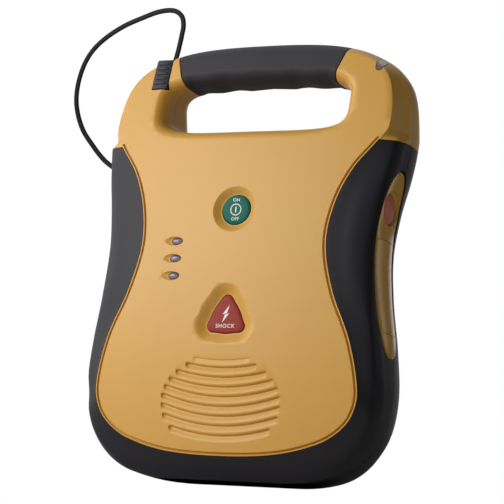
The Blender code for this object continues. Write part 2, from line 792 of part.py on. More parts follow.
ON_OFF_DEPTHS = button_depths(ON_OFF_HEIGHT, ON_OFF_DISH_DEPTH)
SHOCK_DEPTHS = button_depths(SHOCK_HEIGHT, SHOCK_DISH_DEPTH)
ON_OFF_DISH_MARGIN = ON_OFF_DISH_RADIUS - ON_OFF_RADIUS
MAIN_BOARD_Y = max(ON_OFF_DEPTHS[2], SHOCK_DEPTHS[2]) + BUTTON_TRAVEL + DOME_SOLID
PACK_HALF_WIDTH = BAY_WIDTH / 2 - BAY_RIM
BAY_Y = MAIN_BOARD_Y + BOARD_THICK + BOARD_GAP + BAY_WALL + GAP + PACK_HALF_WIDTH
BAY_PLATE_X = WAIST_WIDTH / 2 - BAY_PLATE
PACK_BACK_X = WAIST_WIDTH / 2 - PACK_LENGTH
REAR_INNER_Y = POCKET_FLOOR_Y - CASE_WALL
POWER_BOARD_Y = REAR_INNER_Y - POWER_BOARD_STANDOFF - BOARD_THICK
NOTCH_FLOOR = PLUG_BOTTOM - NOTCH_GAP
SOCKET_Y = (front_y(PLUG_X, PLUG_BOTTOM) + PLUG_BACK) / 2
SPEAKER_BOSS_Y = front_y(0, GRILLE_HEIGHT - SPEAKER_RADIUS) + CASE_WALL + SPEAKER_CLEAR
SPEAKER_Y = SPEAKER_BOSS_Y + SPEAKER_SCREEN + 2 * GAP


def dish(name, loop_at, margin, floor, surface):
    """A cutter for a sloping dish round a button or a lens, down to its floor."""
    slope = margin / (floor - surface)
    rings = [placed(loop_at(GAP + margin + slope * margin), "y", surface - margin)]
    rings.append(placed(loop_at(2 * GAP), "y", floor))
    return loft(name, rings)


def lamp_loop(z, grow=0.0):
    return ellipse((LAMP_X, z), LAMP_WIDTH / 2 + grow, LAMP_RISE / 2 + grow, SMALL_SIDES)


def bay_loop(grow=0.0):
    """Outline of the battery bay in the side, as (y, z)."""
    loop = ellipse((BAY_Y, BAY_HEIGHT), BAY_WIDTH / 2, BAY_RISE / 2, 2 * ROUND_SIDES, BAY_POWER)
    return grown(loop, grow)


def pack_loop(grow=0.0):
    """Outline of the battery pack, which fills the bay between its bottom and top edges, as (y, z)."""
    def half_at(z):
        share = abs(z - BAY_HEIGHT) / (BAY_RISE / 2)
        return BAY_WIDTH / 2 * (1 - share**BAY_POWER) ** (1 / BAY_POWER) - BAY_RIM

    right = [(half_at(PACK_BOTTOM) - PACK_CORNER, PACK_BOTTOM)]
    straight = PACK_TOP - PACK_BOTTOM - 2 * PACK_CORNER
    for k in range(PACK_STEPS + 1):
        z = PACK_BOTTOM + PACK_CORNER + straight * k / PACK_STEPS
        right.append((half_at(z), z))
    right.append((half_at(PACK_TOP) - PACK_CORNER, PACK_TOP))
    left = [(-half, z) for half, z in reversed(right)]
    return grown([Vector((BAY_Y + half, z)) for half, z in right + left], grow)


def pillars(name, radius, low, high):
    """One cylinder per screw place, joined into one tool."""
    tool = None
    for x, z in SCREW_PLACES:
        pillar = turned(name, "y", (x, z), [(radius, low), (radius, high)], SMALL_SIDES)
        tool = pillar if tool is None else add(tool, pillar)
    return tool


def main_board_corners():
    inset = BOARD_POST_RADIUS + BOARD_GAP
    half = MAIN_BOARD_WIDTH / 2 - inset
    return [(x, z) for x in (-half, half) for z in (MAIN_BOARD_BOTTOM + inset, MAIN_BOARD_TOP - inset)]


def power_board_corners():
    inset = BOARD_POST_RADIUS + BOARD_GAP
    half = POWER_BOARD_WIDTH / 2 - inset
    return [(x, z) for x in (-half, half) for z in (POWER_BOARD_BOTTOM + inset, POWER_BOARD_TOP - inset)]


def cavity(name):
    """The hollow inside both case halves, with what must stay solid taken out of it."""
    wall = BUMPER_WALL + BUMPER_FIT + CASE_WALL
    space = body(name, wall, CASE_WALL, 2 * CASE_WALL, hidden=True)
    bar_half = HOLE_WIDTH / 2 + 2 * CASE_WALL
    cut(space, box("bar", (-bar_half, -FAR, HOLE_BOTTOM + HOLE_ROUND), (bar_half, FAR, FAR)))
    for tool in (handle_hole("wall", CASE_WALL), pocket("wall", CASE_WALL), plug_notch("wall", CASE_WALL)):
        cut(space, tool)
    cut(space, pillars("pillar", PILLAR_RADIUS, -FAR, FAR))
    cut(space, prism("boss", on_off_loop(ON_OFF_DISH_MARGIN + CASE_WALL), "y", -FAR, ON_OFF_DEPTHS[1]))
    cut(space, prism("boss", shock_loop(SHOCK_DISH_MARGIN + CASE_WALL), "y", -FAR, SHOCK_DEPTHS[1]))
    for z in LAMP_HEIGHTS:
        back = dish_floor(LAMP_X, z, LAMP_DISH_DEPTH) + LAMP_SEAT
        cut(space, prism("boss", lamp_loop(z, LAMP_DISH_MARGIN + CASE_WALL / 2), "y", -FAR, back))
    for place in main_board_corners():
        post = [(BOARD_POST_RADIUS, -FAR), (BOARD_POST_RADIUS, MAIN_BOARD_Y - GAP)]
        cut(space, turned("post", "y", place, post, SMALL_SIDES))
    for place in power_board_corners():
        post = [(BOARD_POST_RADIUS, POWER_BOARD_Y + BOARD_THICK + GAP), (BOARD_POST_RADIUS, FAR)]
        cut(space, turned("post", "y", place, post, SMALL_SIDES))
    boss_radius = SPEAKER_RADIUS + CASE_WALL
    boss = [(boss_radius, -FAR), (boss_radius, SPEAKER_BOSS_Y)]
    return cut(space, turned("boss", "y", (0, GRILLE_HEIGHT), boss))


def grille_slots(target):
    """Cut the smile-shaped grooves of the loudspeaker grille, and the sound holes in their floors."""
    across, up = GRILLE_WIDTH / 2, GRILLE_RISE / 2
    sound_radius = SPEAKER_RADIUS - SPEAKER_SEAT - SOUND_HOLE_RADIUS
    for k in range(SLOT_COUNT):
        middle = (k - (SLOT_COUNT - 1) / 2) * SLOT_PITCH - across**2 / SLOT_BEND_RADIUS / 8

        def height(x):
            return GRILLE_HEIGHT + middle + x**2 / (2 * SLOT_BEND_RADIUS)

        reach = across
        while (reach / across) ** 2 + ((height(reach) - GRILLE_HEIGHT) / up) ** 2 > 1:
            reach -= SLOT_RISE / 4
        rings = []
        for i in range(SLOT_STEPS + 1):
            x = -reach + 2 * reach * i / SLOT_STEPS
            z = height(x)
            half = SLOT_RISE / 4 if i in (0, SLOT_STEPS) else SLOT_RISE / 2
            near, far = front_y(x, z) - SLOT_DEPTH, front_y(x, z) + SLOT_DEPTH
            corners = ((near, z - half), (near, z + half), (far, z + half), (far, z - half))
            rings.append([Vector((x, *corner)) for corner in corners])
        cut(target, loft("slot", rings))
        for x in [SOUND_HOLE_PITCH * i for i in (-2, -1, 0, 1, 2)]:
            if math.hypot(x, height(x) - GRILLE_HEIGHT) < sound_radius:
                bore = [(SOUND_HOLE_RADIUS, -FAR), (SOUND_HOLE_RADIUS, SPEAKER_Y)]
                cut(target, turned("sound_hole", "y", (x, height(x)), bore, SMALL_SIDES // 2))


def shell_blank():
    """Both case halves in one piece, hollow, with every opening cut."""
    shell = body("shell")
    grille_slots(shell)
    for tool in (handle_hole("hole"), pocket("pocket"), plug_notch("notch")):
        cut(shell, tool)
    rebate = grip_zone("rebate", GAP)
    cut(rebate, handle_core("core", GRIP_WALL + GAP))
    cut(shell, rebate)
    floor, seat, _ = ON_OFF_DEPTHS
    cut(shell, dish("dish", on_off_loop, ON_OFF_DISH_MARGIN, floor, front_y(0, ON_OFF_HEIGHT)))
    cut(shell, prism("bore", on_off_loop(GAP), "y", -FAR, seat + GAP))
    floor, seat, _ = SHOCK_DEPTHS
    cut(shell, dish("dish", shock_loop, SHOCK_DISH_MARGIN, floor, front_y(0, SHOCK_HEIGHT)))
    cut(shell, prism("bore", shock_loop(GAP), "y", -FAR, seat + GAP))
    for z in LAMP_HEIGHTS:
        surface = front_y(LAMP_X, z)
        floor = surface + LAMP_DISH_DEPTH
        cut(shell, dish("dish", lambda grow: lamp_loop(z, grow), LAMP_DISH_MARGIN, floor, surface))
        cut(shell, prism("bore", lamp_loop(z, GAP), "y", -FAR, floor + LAMP_SEAT + GAP))
    cut(shell, prism("bay", bay_loop(GAP), "x", BAY_PLATE_X - BAY_WALL, FAR))
    half = SOCKET_WIDTH / 2 + GAP
    reach = SOCKET_DEPTH / 2 + GAP
    socket_low = (PLUG_X - half, SOCKET_Y - reach, NOTCH_FLOOR - SOCKET_REACH)
    cut(shell, box("socket", socket_low, (PLUG_X + half, SOCKET_Y + reach, NOTCH_FLOOR + GAP)))
    cut(shell, status_slot("status", GAP, STATUS_THICK + 2 * GAP))
    for x, z in SCREW_PLACES:
        rear = rear_face(x, z)
        bore = SCREW_RADIUS + GAP
        cut(shell, turned("bore", "y", (x, z), [(bore, -SCREW_GRIP - GAP), (bore, FAR)], SMALL_SIDES))
        head = SCREW_HEAD_RADIUS + GAP
        seat = rear - SCREW_SINK - SCREW_HEAD_DEPTH - GAP
        cut(shell, turned("head", "y", (x, z), [(head, seat), (head, FAR)], SMALL_SIDES))
    return cut(shell, cavity("cavity"))


def status_slot(name, grow, depth):
    """A patch of the right shoulder's skin that wraps from its front over its top."""
    half = STATUS_WIDTH / 2 + grow
    low = (STATUS_X - half, -FAR, STATUS_HEIGHT - grow)
    patch = box(name, low, (STATUS_X + half, STATUS_BACK + grow, FAR))
    return cut(patch, body("under", depth, depth))


def half_space(name, front, gap):
    """Everything in front of the parting plane, or behind it, half a gap away from it."""
    edge = gap / 2
    if front:
        return box(name, (-FAR, -FAR, -FAR), (FAR, -edge, FAR))
    return box(name, (-FAR, edge, -FAR), (FAR, FAR, FAR))


def surround_zone(name, front, grow):
    """Where the black surround covers the case: outside the panel outline and below the shoulders."""
    loop = panel_loop() if front else rear_loop()
    zone = box(name, (-FAR, -FAR, -FAR), (FAR, FAR, BUMPER_TOP + grow))
    return cut(zone, prism("panel", grown(loop, -grow + GAP), "y", -2 * FAR, 2 * FAR))


def grip_zone(name, grow):
    """Where the rubber grip covers the handle bar."""
    low, high = (HOLE_BOTTOM + HOLE_TOP) / 2, BODY_HEIGHT + EDGE_ROUND
    top, bottom = GRIP_TOP_WIDTH / 2 + grow, GRIP_BOTTOM_WIDTH / 2 + grow
    corners = ((-bottom, low), (bottom, low), (top, high), (-top, high))
    return prism(name, [Vector(corner) for corner in corners], "y", -FAR, FAR)


def handle_core(name, wall):
    """The handle bar that the grip sits on."""
    core = body(name, wall, wall, hidden=True)
    return cut(core, handle_hole("hole", wall))


def cases():
    """Front and rear case."""
    shell = shell_blank()
    rear = copy_of(shell, "rear_case")
    for case, front in ((shell, True), (rear, False)):
        common(case, half_space("half", front, PARTING_GAP))
        covered = surround_zone("covered", front, GAP)
        inset = BUMPER_WALL + BUMPER_FIT
        cut(covered, body("seat", inset, inset, hidden=True))
        cut(case, covered)
    finish(shell, "front_case", "yellow")
    finish(rear, "rear_case", "yellow")


def case_gasket():
    """The flat gasket between the case halves, down the left side and along the base to the battery bay."""
    edge = outer_loop(HIDDEN_STEPS)
    inset = BUMPER_WALL + BUMPER_FIT
    gasket = prism("gasket", grown(edge, -inset), "y", -GASKET_THICK / 2, GASKET_THICK / 2)
    cut(gasket, prism("inside", grown(edge, -inset - CASE_WALL), "y", -GASKET_THICK, GASKET_THICK))
    cut(gasket, box("above", (-FAR, -FAR, BUMPER_TOP), (FAR, FAR, FAR)))
    bay_bottom = BAY_HEIGHT - BAY_RISE / 2 - BAY_RIM
    cut(gasket, box("bay_side", (0, -FAR, bay_bottom), (FAR, FAR, FAR)))
    finish(gasket, "case_gasket", "silicone")


def bumpers():
    """The black surround, in a front and a rear half."""
    for name, front in (("front_bumper", True), ("rear_bumper", False)):
        bumper = body(name)
        cut(bumper, body("inside", BUMPER_WALL, BUMPER_WALL, hidden=True))
        common(bumper, surround_zone("zone", front, 0.0))
        common(bumper, half_space("half", front, GAP))
        if not front:
            cut(bumper, pocket("pocket"))
            cut(bumper, pillars("head", SCREW_HEAD_RADIUS + GAP, 0, FAR))
        cut(bumper, prism("bay", bay_loop(GAP), "x", 0, FAR))
        finish(bumper, name, "black")


def grips():
    """The rubber grip on the handle bar, moulded in two halves."""
    sleeve = body("sleeve")
    cut(sleeve, handle_hole("hole"))
    common(sleeve, grip_zone("zone", 0.0))
    cut(sleeve, handle_core("core", GRIP_WALL))
    rear = copy_of(sleeve, "grip_rear")
    common(sleeve, half_space("half", True, GAP))
    common(rear, half_space("half", False, GAP))
    finish(sleeve, "grip_front", "rubber")
    finish(rear, "grip_rear", "rubber")


def case_screws():
    for number, (x, z) in enumerate(SCREW_PLACES, 1):
        seat = rear_face(x, z) - SCREW_SINK - SCREW_HEAD_DEPTH
        profile = [(SCREW_RADIUS, -SCREW_GRIP), (SCREW_RADIUS, seat), (SCREW_HEAD_RADIUS, seat)]
        profile.append((SCREW_HEAD_RADIUS, seat + SCREW_HEAD_DEPTH))
        screw = turned("screw", "y", (x, z), profile, SMALL_SIDES)
        finish(screw, f"case_screw_{number}", "steel", (x, seat, z))


def front_button(name, finish_name, loop_at, depths, z):
    """A button with a crowned head, a flange behind the panel and a stem, and its silicone dome."""
    floor, seat, flange_back = depths
    front = floor - BUTTON_PROUD
    rings = [placed(loop_at(-2 * BUTTON_PROUD), "y", front)]
    rings.append(placed(loop_at(-BUTTON_PROUD / 2), "y", front + BUTTON_PROUD / 3))
    rings.append(placed(loop_at(0), "y", front + BUTTON_PROUD))
    rings.append(placed(loop_at(0), "y", seat + GAP))
    rings.append(placed(loop_at(FLANGE_MARGIN), "y", seat + GAP))
    rings.append(placed(loop_at(FLANGE_MARGIN), "y", flange_back))
    button = loft(name, rings)
    stem = [(STEM_RADIUS, flange_back - GAP), (STEM_RADIUS, MAIN_BOARD_Y - BUTTON_TRAVEL - GAP)]
    add(button, turned("stem", "y", (0, z), stem, SMALL_SIDES))
    finish(button, f"{name}_button", finish_name, (0, floor, z))

    near, far = flange_back + GAP, MAIN_BOARD_Y - GAP
    dome = turned("dome", "y", (0, z), [(DOME_RADIUS - DOME_WALL, near), (DOME_RADIUS, far)])
    bore = [(DOME_RADIUS - 2 * DOME_WALL, near - GAP), (DOME_RADIUS - DOME_WALL, far + GAP)]
    cut(dome, turned("bore", "y", (0, z), bore))
    finish(dome, f"{name}_dome", "silicone")


def lamps():
    for number, z in enumerate(LAMP_HEIGHTS, 1):
        surface = front_y(LAMP_X, z)
        floor = surface + LAMP_DISH_DEPTH
        back = floor + LAMP_SEAT
        rings = [placed(lamp_loop(z, -LAMP_RISE / 4), "y", surface + GAP)]
        rings.append(placed(lamp_loop(z, 0), "y", floor))
        rings.append(placed(lamp_loop(z, 0), "y", back + GAP))
        rings.append(placed(lamp_loop(z, LAMP_FLANGE), "y", back + GAP))
        rings.append(placed(lamp_loop(z, LAMP_FLANGE), "y", back + GAP + FLANGE_THICK))
        rings.append(placed(lamp_loop(z, -LAMP_RISE / 5), "y", back + 2 * GAP + FLANGE_THICK))
        rings.append(placed(lamp_loop(z, -LAMP_RISE / 5), "y", MAIN_BOARD_Y - GAP))
        finish(loft("lens", rings), f"indicator_lens_{number}", "lens")
    lens = common(status_slot("status_lens", 0.0, STATUS_THICK), body("skin"))
    finish(lens, "status_lens", "lens")


def loudspeaker():
    place = (0, GRILLE_HEIGHT)
    front, back = SPEAKER_Y, SPEAKER_Y + SPEAKER_DEPTH
    rim = SPEAKER_RADIUS - SPEAKER_SEAT
    throat = MAGNET_RADIUS - SPEAKER_SEAT
    outside = [(SPEAKER_RADIUS, front), (SPEAKER_RADIUS, front + SPEAKER_SEAT), (MAGNET_RADIUS, back)]
    frame = turned("frame", "y", place, outside)
    bore = [(rim, front - GAP), (rim, front + SPEAKER_SEAT / 2), (throat, back + GAP)]
    cut(frame, turned("bore", "y", place, bore))
    finish(frame, "speaker_frame", "steel")
    wide, narrow, deep = rim - SPEAKER_SEAT / 2, throat - SPEAKER_SEAT, back - SPEAKER_SEAT
    cone = turned("cone", "y", place, [(wide, front), (narrow, deep)])
    bore = [(wide - CONE_THICK, front - GAP), (narrow - CONE_THICK, deep - CONE_THICK)]
    cut(cone, turned("bore", "y", place, bore))
    finish(cone, "speaker_cone", "ferrite")
    magnet = [(MAGNET_RADIUS, back + GAP), (MAGNET_RADIUS, back + GAP + MAGNET_DEPTH)]
    finish(turned("magnet", "y", place, magnet), "speaker_magnet", "ferrite")
    screen = [(SPEAKER_RADIUS, front - GAP - SPEAKER_SCREEN), (SPEAKER_RADIUS, front - GAP)]
    finish(turned("screen", "y", place, screen), "speaker_screen", "black")


def battery_bay():
    """The yellow insert in the side: a leaf-shaped plate, the well behind it and the eject button's dish."""
    plate = body("plate", BAY_SINK, BAY_SINK)
    common(plate, prism("leaf", bay_loop(), "x", BAY_PLATE_X, FAR))
    well_back = PACK_BACK_X - CONTACT_REACH - BAY_WALL
    add(plate, prism("well", pack_loop(GAP + BAY_WALL), "x", well_back, BAY_PLATE_X + BAY_WALL))
    cut(plate, prism("inside", pack_loop(GAP), "x", well_back + BAY_WALL, FAR))
    window = contact_window(GAP)
    cut(plate, box("window", (well_back - GAP, *window[0]), (PACK_BACK_X, *window[1])))
    surface = half_width(EJECT_HEIGHT) - BAY_SINK
    place = (BAY_Y, EJECT_HEIGHT)
    slope = (EJECT_DISH_RADIUS - EJECT_RADIUS - GAP) / EJECT_DISH_DEPTH
    wide = EJECT_DISH_RADIUS + slope * EJECT_DISH_DEPTH
    floor = surface - EJECT_DISH_DEPTH
    cut(plate, turned("dish", "x", place, [(EJECT_RADIUS + GAP, floor), (wide, surface + EJECT_DISH_DEPTH)]))
    cut(plate, turned("bore", "x", place, [(EJECT_RADIUS + GAP, 0), (EJECT_RADIUS + GAP, FAR)]))
    slot_x = BAY_PLATE_X - LATCH_HOOK_SETBACK
    half = LATCH_WIDTH / 2 + GAP
    slot_low = (slot_x - LATCH_HOOK_LENGTH - GAP, BAY_Y - half, PACK_TOP - GAP)
    cut(plate, box("slot", slot_low, (slot_x + GAP, BAY_Y + half, PACK_TOP + 2 * BAY_WALL)))
    finish(plate, "battery_bay", "yellow")


def contact_window(grow):
    """Low and high corners of the contact block, as (y, z)."""
    middle = (PACK_BOTTOM + PACK_TOP) / 2
    half_y, half_z = PACK_HALF_WIDTH / 2 + grow, (PACK_TOP - PACK_BOTTOM) / 6 + grow
    return (BAY_Y - half_y, middle - half_z), (BAY_Y + half_y, middle + half_z)


def battery_pack():
    """The pack's shell, its cells, the contact block that closes it and the bay's own contacts."""
    origin = (PACK_BACK_X, BAY_Y, (PACK_BOTTOM + PACK_TOP) / 2)
    shell = body("pack", BAY_SINK, BAY_SINK)
    common(shell, prism("outside", pack_loop(), "x", PACK_BACK_X, FAR))
    cut(shell, prism("inside", pack_loop(-PACK_WALL), "x", PACK_BACK_X - GAP, BAY_PLATE_X))
    slot_x = BAY_PLATE_X - LATCH_HOOK_SETBACK
    half = LATCH_WIDTH / 2 + GAP
    notch_low = (slot_x - LATCH_HOOK_LENGTH - GAP, BAY_Y - half, PACK_TOP - LATCH_NOTCH)
    cut(shell, box("notch", notch_low, (slot_x + GAP, BAY_Y + half, PACK_TOP + GAP)))
    finish(shell, "battery_pack", "yellow", origin)

    block = prism("block", pack_loop(-PACK_WALL - GAP), "x", PACK_BACK_X, PACK_BACK_X + CONTACT_THICK)
    finish(block, "battery_contacts", "black", origin)
    low, high = contact_window(0.0)
    well_back = PACK_BACK_X - CONTACT_REACH - BAY_WALL
    finish(box("contacts", (well_back, *low), (PACK_BACK_X - GAP, *high)), "bay_contacts", "brass")

    pitch = 2 * CELL_RADIUS + GAP
    middle = (PACK_BOTTOM + PACK_TOP - LATCH_NOTCH) / 2
    number = 0
    for row in range(CELL_ROWS):
        z = middle + (row - (CELL_ROWS - 1) / 2) * pitch
        for column in range(CELL_COLUMNS):
            number += 1
            start = PACK_BACK_X + CONTACT_THICK + GAP + column * (CELL_LENGTH + GAP)
            can = [(CELL_RADIUS, start), (CELL_RADIUS, start + CELL_LENGTH)]
            cell = turned("cell", "x", (BAY_Y, z), can, SMALL_SIDES)
            finish(cell, f"battery_cell_{number}", "can", origin)


def eject():
    """The red eject button, its housing and spring, and the leaf latch that it lifts."""
    surface = half_width(EJECT_HEIGHT) - BAY_SINK
    place = (BAY_Y, EJECT_HEIGHT)
    top = surface - EJECT_DISH_DEPTH + EJECT_PROUD
    flange = EJECT_RADIUS + EJECT_FLANGE_MARGIN
    flange_front = BAY_PLATE_X - GAP
    flange_back = flange_front - EJECT_FLANGE_THICK
    crown = EJECT_PROUD / 3
    profile = [(EJECT_RADIUS / 2, top), (EJECT_RADIUS - crown, top - crown / 2)]
    profile += [(EJECT_RADIUS, top - 2 * crown), (EJECT_RADIUS, flange_front)]
    profile += [(flange, flange_front), (flange, flange_back)]
    button = turned("button", "x", place, profile)
    leaf_z = PACK_TOP + GAP + BAY_WALL + GAP
    half = EJECT_FINGER_WIDTH / 2
    under = EJECT_HEIGHT - EJECT_RADIUS
    finger_low = (flange_back, BAY_Y - half, leaf_z + GAP)
    add(button, box("finger", finger_low, (flange_front - GAP, BAY_Y + half, under)))
    finish(button, "eject_button", "red", (top, *place))

    back = BAY_PLATE_X - HOUSING_DEPTH
    inner = flange + GAP
    outer = inner + HOUSING_WALL
    housing = turned("housing", "x", place, [(outer, back), (outer, BAY_PLATE_X - GAP)])
    cut(housing, turned("bore", "x", place, [(inner, back + HOUSING_WALL), (inner, BAY_PLATE_X)]))
    slot_low = (flange_back - EJECT_TRAVEL - GAP, BAY_Y - half - GAP, under - outer)
    cut(housing, box("slot", slot_low, (BAY_PLATE_X, BAY_Y + half + GAP, under)))
    finish(housing, "eject_housing", "black")

    wire = SPRING_WIRE / 2
    start, end = back + HOUSING_WALL + GAP + wire, flange_back - GAP - wire
    points = []
    steps = SPRING_TURNS * SMALL_SIDES
    for i in range(steps + 1):
        c, s = power_arc(360 * SPRING_TURNS * i / steps, 2)
        x = start + (end - start) * i / steps
        points.append((x, BAY_Y + SPRING_RADIUS * c, EJECT_HEIGHT + SPRING_RADIUS * s))
    finish(tube("spring", points, SPRING_WIRE, 1), "eject_spring", "steel")

    hook_x = BAY_PLATE_X - LATCH_HOOK_SETBACK
    tip = flange_back - EJECT_TRAVEL / 2
    half = LATCH_WIDTH / 2
    latch_low = (tip - LATCH_LENGTH, BAY_Y - half, leaf_z)
    latch = box("latch", latch_low, (tip, BAY_Y + half, leaf_z + LATCH_THICK))
    hook_low = (hook_x - LATCH_HOOK_LENGTH, BAY_Y - half, PACK_TOP - LATCH_NOTCH + GAP)
    add(latch, box("hook", hook_low, (hook_x, BAY_Y + half, leaf_z + LATCH_THICK / 2)))
    finish(latch, "battery_latch", "steel")


def connector():
    """The socket and its pins in the left shoulder, and the ribbed plug that stands in the notch."""
    half = SOCKET_WIDTH / 2
    socket_low = (PLUG_X - half, SOCKET_Y - SOCKET_DEPTH / 2, NOTCH_FLOOR - SOCKET_REACH)
    socket = box("socket", socket_low, (PLUG_X + half, SOCKET_Y + SOCKET_DEPTH / 2, NOTCH_FLOOR))
    root = NOTCH_FLOOR - PIN_LENGTH / 2
    pins = [(PLUG_X, SOCKET_Y - PIN_SPACING / 2), (PLUG_X, SOCKET_Y + PIN_SPACING / 2)]
    bore = PIN_RADIUS + GAP
    for number, place in enumerate(pins, 1):
        cut(socket, turned("bore", "z", place, [(bore, root), (bore, FAR)], SMALL_SIDES))
        profile = [(PIN_RADIUS, root + GAP), (PIN_RADIUS, NOTCH_FLOOR + PIN_LENGTH - PIN_RADIUS)]
        profile.append((PIN_RADIUS / 2, NOTCH_FLOOR + PIN_LENGTH))
        finish(turned("pin", "z", place, profile, SMALL_SIDES), f"socket_pin_{number}", "brass")
    finish(socket, "connector_socket", "black")

    def on_front(z, depth=0.0):
        return Vector((front_y(PLUG_X, z) - PLUG_PROUD + depth, z))

    outline = [Vector((PLUG_BACK, PLUG_BOTTOM)), Vector((PLUG_BACK, PLUG_TOP))]
    outline += [on_front(PLUG_TOP, PLUG_CORNER), on_front(PLUG_TOP - PLUG_CORNER)]
    middle = (PLUG_TOP + PLUG_BOTTOM) / 2
    for k in range(RIB_COUNT):
        z = middle + ((RIB_COUNT - 1) / 2 - k) * RIB_PITCH
        outline += [on_front(z + RIB_GROOVE / 2), on_front(z + RIB_GROOVE / 4, RIB_DEPTH)]
        outline += [on_front(z - RIB_GROOVE / 4, RIB_DEPTH), on_front(z - RIB_GROOVE / 2)]
    outline.append(on_front(PLUG_BOTTOM))
    plug = prism("plug", outline, "x", PLUG_X - PLUG_WIDTH / 2, PLUG_X + PLUG_WIDTH / 2)
    for place in pins:
        bore_end = NOTCH_FLOOR + PIN_LENGTH + GAP
        cut(plug, turned("bore", "z", place, [(bore, 0), (bore, bore_end)], SMALL_SIDES))
    origin = (PLUG_X, SOCKET_Y, PLUG_BOTTOM)
    finish(plug, "electrode_plug", "grey", origin)
    low = PLUG_TOP + GAP
    profile = [(RELIEF_RADIUS, low), (RELIEF_RADIUS, low + RELIEF_HEIGHT / 2)]
    profile.append((CABLE_DIAMETER / 2, low + RELIEF_HEIGHT))
    relief = turned("relief", "z", (PLUG_X, CABLE_EXIT_Y), profile, SMALL_SIDES)
    finish(relief, "plug_strain_relief", "black", origin)


def tube(name, points, diameter, fineness):
    """A round tube with closed ends along a list of points."""
    curve = bpy.data.curves.new(name, "CURVE")
    curve.dimensions = "3D"
    curve.bevel_depth = diameter / 2
    curve.bevel_resolution = fineness
    curve.use_fill_caps = True
    spline = curve.splines.new("POLY")
    spline.points.add(len(points) - 1)
    for target, point in zip(spline.points, points):
        target.co = (*point, 1.0)
    guide = bpy.data.objects.new(name, curve)
    bpy.context.scene.collection.objects.link(guide)
    graph = bpy.context.evaluated_depsgraph_get()
    mesh = bpy.data.meshes.new_from_object(guide.evaluated_get(graph))
    bpy.data.objects.remove(guide)
    bm = bmesh.new()
    bm.from_mesh(mesh)
    bmesh.ops.remove_doubles(bm, verts=bm.verts, dist=1e-6)
    return new_object(name, bm)


def smooth_route(points, step):
    """Points at an even step along a smooth curve through a route's own points."""
    points = [Vector(p) for p in points]
    last = len(points) - 1
    fine = [points[0]]
    for i in range(last):
        a, b = points[i], points[i + 1]
        chord = (b - a).length
        leave = (b - points[max(i - 1, 0)]).normalized() * chord / 3
        arrive = (points[min(i + 2, last)] - a).normalized() * chord / 3
        fine += interpolate_bezier(a, a + leave, b - arrive, b, ROUTE_STEPS)[1:]
    length = sum((q - p).length for p, q in zip(fine, fine[1:]))
    count = max(2, round(length / step))
    route = [fine[0]]
    walked = 0.0
    for p, q in zip(fine, fine[1:]):
        piece = (q - p).length
        while walked + piece >= len(route) * length / count and len(route) < count:
            route.append(p.lerp(q, (len(route) * length / count - walked) / piece))
        walked += piece
    return route + [fine[-1]]


def cable_lines():
    """The centre lines of the cable's two stretches: plug to channel, and channel to pouch."""
    lie = CHANNEL_FLOOR_Y + CABLE_DIAMETER / 2 + GAP
    start = (PLUG_X, CABLE_EXIT_Y, PLUG_TOP + 2 * GAP + RELIEF_HEIGHT)
    mouth_x = POCKET_LEFT - 6 * CABLE_DIAMETER
    first = [start]
    for reach, back, rise in CABLE_ROUTE:
        y = CABLE_EXIT_Y + back * (CHANNEL_FLOOR_Y - CABLE_EXIT_Y)
        z = CHANNEL_HEIGHT + rise * (PLUG_TOP - CHANNEL_HEIGHT)
        first.append((PLUG_X - reach * CABLE_LOOP_REACH, y, z))
    first.append((mouth_x, lie + CABLE_DIAMETER / 3, CHANNEL_HEIGHT + CABLE_DIAMETER / 4))
    first.append(((mouth_x + CABLE_SPLIT_X) / 2, lie, CHANNEL_HEIGHT))
    first.append((CABLE_SPLIT_X, lie, CHANNEL_HEIGHT))

    pouch_y = POCKET_FLOOR_Y + POUCH_GAP + POUCH_THICK / 2
    edge = -POUCH_WIDTH / 2
    side = (POCKET_LEFT + edge) / 2
    second = [(CABLE_SPLIT_X + GAP, lie, CHANNEL_HEIGHT)]
    second.append((POCKET_LEFT + CABLE_DIAMETER / 2, lie, CHANNEL_HEIGHT - CABLE_DIAMETER / 4))
    second.append((side, (lie + pouch_y) / 2, CHANNEL_HEIGHT - 2 * CABLE_DIAMETER))
    second.append((side, pouch_y, (CHANNEL_HEIGHT + TAIL_ENTRY_HEIGHT) / 2))
    second.append((side + CABLE_DIAMETER / 4, pouch_y, TAIL_ENTRY_HEIGHT + CABLE_DIAMETER))
    second.append((edge - GAP, pouch_y, TAIL_ENTRY_HEIGHT))
    second.append((edge + TAIL_INSIDE / 2, pouch_y, TAIL_ENTRY_HEIGHT))
    second.append((edge + TAIL_INSIDE, pouch_y, TAIL_ENTRY_HEIGHT))
    return first, second


def electrode_cable():
    first, second = cable_lines()
    for name, line, step in (("electrode_cable", first, CABLE_STEP), ("cable_tail", second, CABLE_STEP / 2)):
        finish(tube(name, smooth_route(line, step), CABLE_DIAMETER, CABLE_ROUND_STEPS), name, "rubber")


